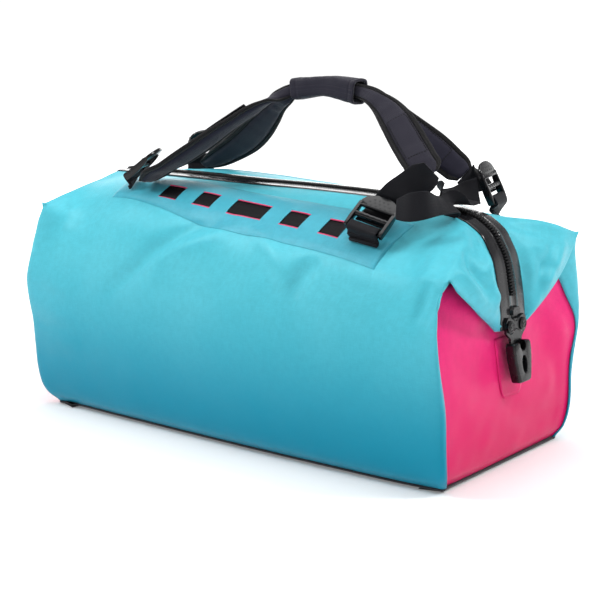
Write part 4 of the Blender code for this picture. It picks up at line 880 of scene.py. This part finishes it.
for half in HALF:
    pairs = np.array([[on_side(half, c * HALF_LENGTH, patch_run(i, c)) for c in CUTS] for i in PATCH_LINES])
    grid = pairs[:, :, 0] + pairs[:, :, 1] * lift[..., None]
    pink = [in_window[j] and (1.85 <= at < 2 or 4 <= at < 4.1)
            for i, at in enumerate(PATCH_LINES[:-1]) for j in range(len(CUTS) - 1) if kept(i, j)]
    faces = quads(*grid.shape[:2], half == "front", keep=kept)
    piece(f"patch_{half}_film", grid.reshape(-1, 3), faces, [FILM, EDGE], f"patch_{half}",
          grid_uv(grid), pink, thick=PATCH_T)
    sub = np.ix_((2 <= PATCH_LINES) & (PATCH_LINES <= 4), (CHAIN_X[0] < CUTS) & (CUTS < CHAIN_X[1]))
    grid = pairs[sub][:, :, 0] + pairs[sub][:, :, 1] * (lift[sub] - PATCH_T - GAP)[..., None]
    faces = quads(*grid.shape[:2], half == "front")
    # The daisy chain takes the darker webbing, painted shade in the windows
    piece(f"daisy_chain_{half}_web", grid.reshape(-1, 3), faces, SHADED_DAISY_WEB, f"daisy_chain_{half}",
          grid_uv(grid)[:, ::-1], thick=CHAIN_T * 0.6)


# Ladder locks
def local(origin, along, across):
    """Turns local (across, along, out) places into places on the bag."""
    v = unit(along)
    u = unit(np.asarray(across, float) - v * np.dot(across, v))
    h = np.cross(u, v)
    origin = np.asarray(origin, float)
    return lambda p: origin + u * p[0] + v * p[1] + h * p[2]


class Body:
    """Solids gathered into one mesh, in a local frame."""

    def __init__(self, place):
        self.place, self.points, self.faces = place, [], []

    def stack(self, loops):
        points = [np.array(p, float) for loop in loops for p in loop]
        faces = outward(points, capped(len(loops), len(loops[0])))
        self.faces += [tuple(len(self.points) + v for v in face) for face in faces]
        self.points += [self.place(p) for p in points]

    def box(self, u, v, h):
        self.stack([[(u[0], v[0], c), (u[1], v[0], c), (u[1], v[1], c), (u[0], v[1], c)] for c in h])

    def bar(self, half, v, h, radius, sides=20, rings=1, wobble=0.0):
        loops = []
        for a in np.linspace(-half, half, rings + 1):
            r = radius * (1 + wobble * math.sin(a / 0.0011))
            loops.append([(a, v + r * math.cos(t), h + r * math.sin(t)) for t in circle(sides)])
        self.stack(loops)

    def plate(self, outline, h, steps=((0, 1), (1, 1))):
        outline = np.asarray(outline, float)
        centre = outline.mean(axis=0)
        rise = h[1] - h[0]
        self.stack([[(*(centre + (p - centre) * k), h[0] + rise * s) for p in outline] for s, k in steps])

    def rings(self, u, v, steps, sides):
        """Round a point, circles at the radii and heights given."""
        self.stack([[(u + r * math.cos(t), v + r * math.sin(t), h) for t in circle(sides)] for r, h in steps])

    def dome(self, u, v, h, radius, rise, sides):
        steps = ((1, 0), (0.93, 0.55), (0.7, 0.9), (0.35, 1))
        self.rings(u, v, [(radius * k, h + rise * s) for k, s in steps], sides)

    def made(self, name, slot, material, node_name=None):
        points = np.array(self.points)
        return piece(name, points, self.faces, material, node_name, points[:, :2])


LOCK_SIDE = [(-0.0050, -0.0034), (-0.0038, -0.0040), (0.004, -0.0042), (0.012, -0.0040), (0.022, -0.0028),
             (0.030, -0.0010), (0.030, 0.0042), (0.010, 0.0044), (0.002, 0.0040), (-0.0040, 0.0034),
             (-0.0052, 0.0020)]
SIDE_T, TAB_V, TAB_INSET = 0.0034, 0.030, 0.0006


def ladder_lock(name, place):
    half = LOCK_W / 2
    lock = Body(place)
    for s in (-1, 1):
        lock.stack([[(u, v, h) for v, h in LOCK_SIDE] for u in sorted((s * half, s * (half - SIDE_T)))])
    lock.bar(half - 0.001, 0.0, 0.0, BAR_R)
    lock.bar(half - 0.001, ROLLER_V, ROLLER_H, ROLLER_R, 20, 60, 0.04)
    reach = half - TAB_INSET
    tab = [(-reach, 0.0245), (reach, 0.0245)]
    tab += [(reach * math.cos(t), TAB_V + (LOCK_L - TAB_V) * math.sin(t)) for t in np.linspace(0, math.pi, 25)]
    lock.plate(tab, (0.0002, 0.0040), ((0, 0.97), (0.15, 1), (0.8, 1), (1, 0.95)))
    # Low studs in rows on the tab
    for row, count, wide in ((0.0285, 6, 0.0145), (0.0325, 5, 0.0120), (0.0365, 4, 0.0080)):
        for u in np.linspace(-1, 1, count) * wide:
            lock.dome(u, row, 0.0038, 0.0011, 0.0006, 10)
    lock.bar(half - 0.002, 0.0258, 0.0036, 0.0014, 12)
    rounded(lock.made(f"ladder_lock_{name}_body", "hardware", HARD, f"ladder_lock_{name}"), 0.0004, 2, 35)


PLACES = {name: local(np.array(at) * SCALE, along, across) for name, (at, along, across) in LOCKS.items()}
for name, place in PLACES.items():
    ladder_lock(name, place)

# Webbing from each lock down to the bag, looped around the lower bar
FLAT = [(1, -0.55), (0.985, -0.95), (0.90, -1), (0.5, -1), (0, -1), (-0.5, -1), (-0.90, -1), (-0.985, -0.95),
        (-1, -0.55), (-1, 0.55), (-0.985, 0.95), (-0.90, 1), (-0.5, 1), (0, 1), (0.5, 1), (0.90, 1),
        (0.985, 0.95), (1, 0.55)]


def anchor(name, place):
    half, bar = name.split("_")[0], place((0, 0, 0))
    u = unit(place((1, 0, 0)) - bar)
    ring = BAR_R + 0.0005 + WEB_T / 2
    slant = ring * 0.72
    loop = [(-0.006, -ring), (0.0, -ring), (slant, -slant), (ring, 0.0), (slant, slant), (0.0, ring),
            (-0.006, ring)]
    under_bar = place((0, -0.0065, 0))
    feet = [on_side(half, bar[0], r) for r in np.arange(0.04, 0.15, 0.002)]
    point, up = min(feet, key=lambda foot: np.linalg.norm(foot[0] - under_bar))
    flat_u = unit(u - up * np.dot(u, up))
    away = np.cross(flat_u, up)
    away = away if np.dot(away, place((0, -1, 0)) - bar) > 0 else -away
    low = [point + away * far + up * (FOOT_RISE[name] + WEB_T / 2) for far in (0.004, 0.001)]
    high = [p + up * (WEB_T + GAP) for p in low[::-1]]
    if np.dot(place((0, 0, 1)) - bar, away) < 0:
        low, high = high[::-1], low[::-1]
    path = np.array([*low, *[place((0, v, h)) for v, h in loop], *high])
    side = np.array([flat_u] * 2 + [u] * len(loop) + [flat_u] * 2)
    run = run_of(path)
    at = np.linspace(0, run[-1], 44)
    path, side = through(run, path, at), unit(through(run, side, at))
    ahead = unit(np.gradient(path, axis=0))
    side = unit(side - ahead * (ahead * side).sum(axis=1, keepdims=True))
    swept(f"anchor_{name}_web", path, side, np.cross(side, ahead), FLAT, WEB, f"anchor_{name}",
          width=WEB_W - 0.0025, thick=WEB_T)


for name, place in PLACES.items():
    anchor(name, place)


# Straps
def strap_line(rows, count):
    """Places, directions across, widths and normals along a strap."""
    table = np.array([(*r[:4], *r[4]) for r in rows])
    table[:, :3] *= SCALE
    run = run_of(table[:, :3])
    line = through(run, table, np.linspace(0, run[-1], count))
    ahead = unit(np.gradient(line[:, :3], axis=0))
    across = unit(line[:, 4:] - ahead * (ahead * line[:, 4:]).sum(axis=1, keepdims=True))
    return line[:, :3], across, line[:, 3] * HALF_WIDTH, np.cross(ahead, across)


STEPS = 241
UPPER = [(1.0, 0.0), (0.995, 0.22), (0.965, 0.40), (0.90, 0.47), (0.80, 0.48), (0.715, 0.44), (0.69, 0.36),
         (0.665, 0.46), (0.60, 0.68), (0.48, 0.88), (0.30, 0.98), (0.12, 1.0)]
SECTION = np.array(UPPER + [(-u, v) for u, v in UPPER[::-1]] + [(-u, -v) for u, v in UPPER[1:]]
                   + [(u, -v) for u, v in UPPER[:0:-1]])


def padded_strap(half):
    """A strap's line and its thickness, thinner in the grip and at its tips."""
    centre, across, width, normal = strap_line(STRAPS[half], STEPS)
    held = np.clip(2.2 - np.abs(centre[:, 0] - 0.17 * HALF_LENGTH) / 0.042, 0, 1)
    tip = np.clip(np.minimum(np.arange(STEPS), STEPS - 1 - np.arange(STEPS)) / (STEPS / 26), 0, 1)
    return centre, across, width, normal, PAD_T * (1 - 0.45 * held) * (0.5 + 0.5 * tip)


for half in STRAPS:
    centre, across, width, normal, thick = padded_strap(half)
    # Wrinkles across the strap where it bends
    run = run_of(centre)
    bend = np.linalg.norm(np.gradient(np.gradient(centre, axis=0), axis=0), axis=1)
    bend /= np.maximum(np.gradient(run) ** 2, 1e-9)
    wrinkle = 1 + 0.07 * np.sin(run / 0.0045 + 2.0 * np.sin(run / 0.03)) * np.clip(bend / 8, 0.15, 1)
    mid = (SECTION + np.roll(SECTION, -1, axis=0)) / 2
    outer = (mid[:, 1] > 0) == (np.mean(normal[:, 2]) > 0)
    index = np.where(np.abs(mid[:, 0]) > 0.69, 1, np.where(outer, 0, 2))
    obj = swept(f"strap_{half}_pad", centre, across, normal, SECTION, [PAD, BIND, LINING],
                f"strap_{half}", index, width=width, thick=thick * wrinkle)

STITCH_EVERY, STITCH_LENGTH, THREAD_R, THREAD_RISE = 0.0032, 0.0021, 0.00042, 0.0004


def stitches(name, rows):
    """Threads along lines of (point, outward normal)."""
    points, faces = [], []
    for line, out in rows:
        run = run_of(line)
        for s in np.arange(STITCH_EVERY / 2, run[-1] - STITCH_LENGTH, STITCH_EVERY):
            spots = [sample(line, run, s + STITCH_LENGTH * t) for t in (0, 0.5, 1)]
            h = unit(sample(out, run, s))
            u = np.cross(unit(spots[2] - spots[0]), h)
            faces += capped(3, 5, len(points))
            for c, rise in zip(spots, (0.0, THREAD_RISE, 0.0)):
                for a, b in ((1, 0), (0.5, 0.9), (-0.5, 0.9), (-1, 0), (0, -0.8)):
                    points.append(c + u * THREAD_R * a + h * (THREAD_R * b + rise))
    piece(name, points, faces, THREAD)


# Seams beside the binding, and a sewn box where the webbing is held at the right end
BOX = slice(197, 227)
for half in STRAPS:
    centre, across, width, normal, thick = padded_strap(half)
    lines = []
    for face in (-1, 1):
        def seam(part, u, rise):
            raised = normal[part] * (face * thick[part] / 2 * rise)[:, None]
            return centre[part] + across[part] * (width[part] / 2 * u)[:, None] + raised, normal[part] * face

        lines += [seam(part, u, 0.46) for u in (-0.72, 0.72) for part in (slice(6, 96), slice(150, 235))]
        for k in (BOX.start, BOX.stop - 1):
            shares = np.linspace(-0.62, 0.62, 24)[:, None]
            rise = face * thick[k] / 2 * (0.62 + 0.38 * (1 - np.abs(shares)) ** 0.5)
            row = centre[k] + across[k] * width[k] / 2 * shares + normal[k] * rise
            lines.append((row, np.tile(normal[k] * face, (24, 1))))
        lines += [seam(BOX, u, 0.70) for u in (-0.60, 0.60)]
    stitches(f"strap_{half}_stitching", lines)


# Grip
GRIP_ROWS, GRIP_ROUND = 81, 72


def grip_loops(shrink, dressed):
    """Loops round both straps, soft and with a groove at each hem where dressed."""
    table = np.array(GRIP) * (HALF_LENGTH, HEIGHT, HALF_WIDTH, HALF_WIDTH)
    line = through(np.arange(3), table, np.linspace(0, 2, GRIP_ROWS))
    ahead = unit(np.gradient(line[:, [0, 1]], axis=0))
    loops = []
    for k, ((x, z, tall, deep), (dx, dz)) in enumerate(zip(line, ahead)):
        up = np.array([-dz, 0, dx])
        from_end = min(k, GRIP_ROWS - 1 - k) / (GRIP_ROWS - 1)
        hem_here = math.exp(-((from_end - 0.035) / 0.03) ** 2)
        groove = math.exp(-((from_end - 0.085) / 0.008) ** 2)
        loop = []
        for t in circle(GRIP_ROUND) + math.pi / GRIP_ROUND:
            a, b = [math.copysign(abs(c) ** 0.5, c) for c in (math.cos(t), math.sin(t))]
            p = np.array([x, 0, z]) + Y * a * (deep / 2 - shrink) + up * b * (tall / 2 - shrink)
            if dressed:
                soft = 0.0012 * noise.noise(Vector(p / 0.030)) + 0.0005 * noise.noise(Vector(p / 0.010))
                p = p + unit(Y * math.cos(t) + up * math.sin(t)) * (soft + 0.0003 * hem_here - 0.0006 * groove)
            loop.append(p)
        loops.append(loop)
    return np.array(loops)


outer, inner = grip_loops(0.0, True), grip_loops(GRIP_WALL, False)
m, n = outer.shape[:2]
points = np.concatenate([outer.reshape(-1, 3), inner.reshape(-1, 3)])
faces = quads(m, n, loop=True) + quads(m, n, True, m * n, loop=True)
for i in range(n):
    j, last = (i + 1) % n, (m - 1) * n
    faces += [(i, m * n + i, m * n + j, j), (last + i, last + j, m * n + last + j, m * n + last + i)]
girth, run = np.meshgrid(np.linspace(0, 0.10, n), np.linspace(0, 0.089, m))
uv = np.stack([girth, run], axis=2).reshape(-1, 2)
obj = piece("grip_wrap", points, outward(points, faces), PAD, "grip", np.concatenate([uv, uv]))


# Webbings, tails and the keeper on the front strap
def to_lock(rows, lock, steps):
    """A webbing's rows, carried on to the lock: distance along it and height for each step."""
    place = PLACES[lock]
    u = place((1, 0, 0)) - place((0, 0, 0))
    u = u if np.dot(u, rows[-1][4]) > 0 else -u
    return rows + [(*(place((0, v, h)) / SCALE), 0.24, tuple(u)) for v, h in steps]


centre, across, _, _ = strap_line(STRAPS["rear"], 27)
ahead = unit(centre[-1] - centre[-2])
from_strap = [(*((centre[-1] + ahead * far) / SCALE), 0.18, tuple(across[-1])) for far in (0.0005, 0.0035)]
FRONT_STEPS = [(0.038, -0.0104), (0.024, -0.0058), (0.010, -0.0038)]
REAR_STEPS = [(0.024, -0.0064), (0.008, -0.0039)]
WEBS["web_front_right"] = to_lock(WEBS["web_front_right"], "front_right", FRONT_STEPS)
WEBS["web_rear_right"] = to_lock(from_strap, "rear_right", REAR_STEPS)
for name, rows in WEBS.items():
    centre, across, width, normal = strap_line(rows, 90)
    swept(f"{name}_cloth", centre, across, normal, FLAT, WEB, name, width=width, thick=WEB_T)

centre, across, width, normal = [v[17:28] for v in strap_line(STRAPS["front"], 81)]
lift = normal * np.sign(normal[:, 2:]) * (PAD_T / 2 + GAP + 0.0010)
swept("strap_loop_web", centre + lift, across, normal, FLAT, WEB, "strap_loop",
      width=0.024, thick=0.0020)


# Hardware on the ends
SOCKET_T, SOCKET_TOP, SOCKET_FOOT = 0.012, 0.139, 0.095
SOCKET_RIM = [(0.0155, 0.0), (0.0172, -0.002), (0.0176, -0.008), (0.0168, -0.018), (0.0150, -0.028),
              (0.0128, -0.038), (0.0112, -0.0430), (0.0085, -0.0440)]
NOTCH = [(-0.0066, 0.004), (0.0066, 0.004), (0.0058, -0.006), (0.0030, -0.0095), (-0.0030, -0.0095),
         (-0.0058, -0.006)]
RIBS = [((-0.0125, -0.0085), (0.0, -0.0035)), ((0.0, -0.0035), (0.0125, -0.0085)),
        ((-0.0085, 0.0085), (0.0, 0.0045)), ((0.0, 0.0045), (0.0085, 0.0085))]
RIVET_U, RIVET_H = 0.0128, 0.0058


def on_end(end, y, z):
    """A point of an end panel's outer face."""
    grid = ENDS[end]
    middle = grid[:, grid.shape[1] // 2]
    row = min(float(np.interp(z, middle[:, 2], np.arange(len(middle)))), len(middle) - 1.001)
    a, t = int(row), row - int(row)
    line = grid[a] * (1 - t) + grid[a + 1] * t
    return sample(line, line[:, 1], y)


def socket_patch(end):
    heights = np.linspace(0.080, 0.146, 17)
    pinch = np.interp(heights, [0.080, 0.086, 0.105], [0.6, 0.85, 1])
    across = np.linspace(-0.025, 0.025, 13)
    patch = np.array([[on_end(end, y * p, z) for y in across] for z, p in zip(heights, pinch)])
    patch[:, :, 0] += END[end] * 0.0010
    faces = quads(*patch.shape[:2], end == "left")
    piece(f"socket_patch_{end}_film", patch.reshape(-1, 3), faces, PINK, f"socket_patch_{end}",
          grid_uv(patch), thick=0.0006)


def buckle_socket(end):
    """A waisted block with a mouth on top, a notch and an oval window carved out."""
    side, (box_low, box_high) = END[end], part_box(f"buckle_socket_{end}")
    top, bottom = on_end(end, 0, SOCKET_TOP), on_end(end, 0, SOCKET_FOOT)
    place = local(top, unit(top - bottom), Y * side)
    outer_x = (box_high.x if side > 0 else box_low.x) - CENTRING[0]
    seat = abs((outer_x - top[0]) / (place((0, 0, 1)) - top)[0]) - SOCKET_T
    block, mouth, notch, window = (Body(place) for _ in range(4))
    rim = SOCKET_RIM + [(-u, v) for u, v in SOCKET_RIM[::-1]]
    block.plate(rim, (seat, seat + SOCKET_T), ((0, 0.97), (0.1, 1.0), (0.75, 1.0), (0.93, 0.965), (1, 0.90)))
    mouth.box((-0.0118, 0.0118), (-0.022, 0.004), (seat + 0.0022, seat + 0.0092))
    notch.plate(NOTCH, (seat + 0.008, seat + 0.014))
    oval = [(0.0050 * math.cos(t) * (1 + 0.12 * math.sin(t)), -0.0245 + 0.0098 * math.sin(t))
            for t in circle(28)]
    window.plate(oval, (seat + 0.004, seat + 0.014), ((0, 0.8), (0.7, 1.0), (1, 1.15)))
    body = block.made(f"buckle_socket_{end}_body", "socket_plastic", SOCKET, f"buckle_socket_{end}")
    cutters = [mesh_object("cutter", cut.points, cut.faces) for cut in (mouth, notch, window)]
    for cutter in cutters:
        hole = body.modifiers.new("Hole", "BOOLEAN")
        hole.operation, hole.solver, hole.object = "DIFFERENCE", "EXACT", cutter
    bpy.context.view_layer.update()
    carved = bpy.data.meshes.new_from_object(body.evaluated_get(bpy.context.evaluated_depsgraph_get()))
    body.modifiers.clear()
    body.data = carved
    for cutter in cutters:
        bpy.data.objects.remove(cutter, do_unlink=True)
    rounded(body, 0.0007, 3, 32)


def clip_trim(end):
    """Rings and heads on the rivets, and ribs across the clip."""
    foot, normal = zip_end(end, [0.98])
    up = unit([-normal[0, 2] * END[end], 0, normal[0, 0] * END[end]])
    place = local(foot[0], up if up[2] > 0 else -up, Y * END[end])
    for where, u in (("front", -RIVET_U), ("rear", RIVET_U)):
        trim = Body(place)
        steps = ((0.0046, -0.0003), (0.0045, 0.0004), (0.0039, 0.0006), (0.0033, 0.0002), (0.0031, -0.0003))
        trim.rings(u, 0.0, [(r, RIVET_H + h) for r, h in steps], 28)
        trim.dome(u, 0.0, RIVET_H - 0.0002, 0.0020, 0.0008, 20)
        trim.made(f"rivet_{end}_{where}_ring", "hardware", HARD)
    ribs = Body(place)
    for a, b in np.array(RIBS):
        beside = unit([-(b - a)[1], (b - a)[0]]) * 0.0006
        ribs.plate([a - beside, b - beside, b + beside, a + beside], (0.0032, 0.0041), ((0, 1), (1, 0.8)))
    ribs.made(f"end_clip_{end}_ribs", "hardware", CLIP)


for end in END:
    socket_patch(end)
    buckle_socket(end)
    clip_trim(end)

# The moulded nodes keep their shapes and get rounded edges and a finish
for name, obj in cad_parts.items():
    if not name.startswith(("end_clip", "rivet", "zip_dock", "zip_slider")):
        continue
    if not obj.material_slots:
        obj.data.materials.append(CLIP)
    for slot in obj.material_slots:
        slot.material = CLIP
    rounded(obj, 0.0007, 3, 30)


# Floor, light and camera
def stage_floor():
    """White paper that glows more with distance, so that it ends white."""
    mesh = bpy.data.meshes.new("stage_floor")
    corners = [(x, y, -0.0005) for x, y in ((-3, -3), (3, -3), (3, 3), (-3, 3))]
    mesh.from_pydata(corners, [], [(0, 1, 2, 3)])
    obj = bpy.data.objects.new("stage_floor", mesh)
    bpy.context.scene.collection.objects.link(obj)
    material, tree, bsdf = shader("stage paper")
    grain = node(tree, "ShaderNodeTexNoise", {"Scale": 60.0, "Detail": 2.0}).outputs[0]
    paper = blend_colour(tree, grain, (0.84, 0.84, 0.845, 1), (0.87, 0.87, 0.87, 1))
    feed(tree, bsdf.inputs["Base Color"], paper)
    fixed(bsdf, {"Roughness": 0.9, "Specular IOR Level": 0.1, "Emission Color": (1, 1, 1, 1)})
    place = node(tree, "ShaderNodeTexCoord").outputs["Object"]
    away = node(tree, "ShaderNodeVectorMath", {0: place}, operation="LENGTH").outputs[1]
    feed(tree, bsdf.inputs["Emission Strength"], span(tree, away, 0.5, 1.8, 0.14, 0.8))
    mesh.materials.append(material)


def area(name, place, target, size, power, tall=None):
    light = bpy.data.lights.new(name, "AREA")
    light.energy, light.size = power, size
    if tall:
        light.shape, light.size_y = "RECTANGLE", tall
    obj = bpy.data.objects.new(name, light)
    obj.location = place
    obj.rotation_euler = (Vector(target) - Vector(place)).to_track_quat("-Z", "Y").to_euler()
    bpy.context.scene.collection.objects.link(obj)


def studio():
    """A world that is bright at the horizon and dimmer above."""
    world = bpy.data.worlds.new("studio")
    bpy.context.scene.world = world
    world.use_nodes = True
    tree = world.node_tree
    around = node(tree, "ShaderNodeTexCoord").outputs["Generated"]
    tall = node(tree, "ShaderNodeSeparateXYZ", {"Vector": around}).outputs[2]
    dim = span(tree, tall, 0.10, 0.45, interpolation_type="SMOOTHSTEP")
    colour = blend_colour(tree, dim, (1.05, 1.05, 1.05, 1), (0.26, 0.26, 0.265, 1))
    feed(tree, tree.nodes["Background"].inputs[0], colour)


def camera(azimuth, elevation, distance_to, target):
    obj = bpy.data.objects.new("camera", bpy.data.cameras.new("camera"))
    bpy.context.scene.collection.objects.link(obj)
    obj.data.lens, obj.data.sensor_width = 90, 36
    a, e = math.radians(azimuth), math.radians(elevation)
    back = Vector((math.sin(a) * math.cos(e), -math.cos(a) * math.cos(e), math.sin(e)))
    obj.location = Vector(target) + back * distance_to
    obj.rotation_euler = back.to_track_quat("Z", "Y").to_euler()
    bpy.context.scene.camera = obj


stage_floor()
area("key", (-1.5, -1.35, 2.2), (0, 0, 0.15), 0.8, 42)
area("top", (0.0, 0.1, 2.6), (0, 0, 0.15), 2.2, 46)
area("right", (1.75, 0.75, 2.1), (0.28, 0, 0.2), 0.5, 33)
area("back", (-1.5, 1.95, 0.75), (0, 0, 0.2), 2.6, 14, 0.9)
studio()
camera(37.81, 12.02, 1.783, (0.0107, 0, 0.1479))
bpy.context.scene.view_settings.view_transform = "Standard"
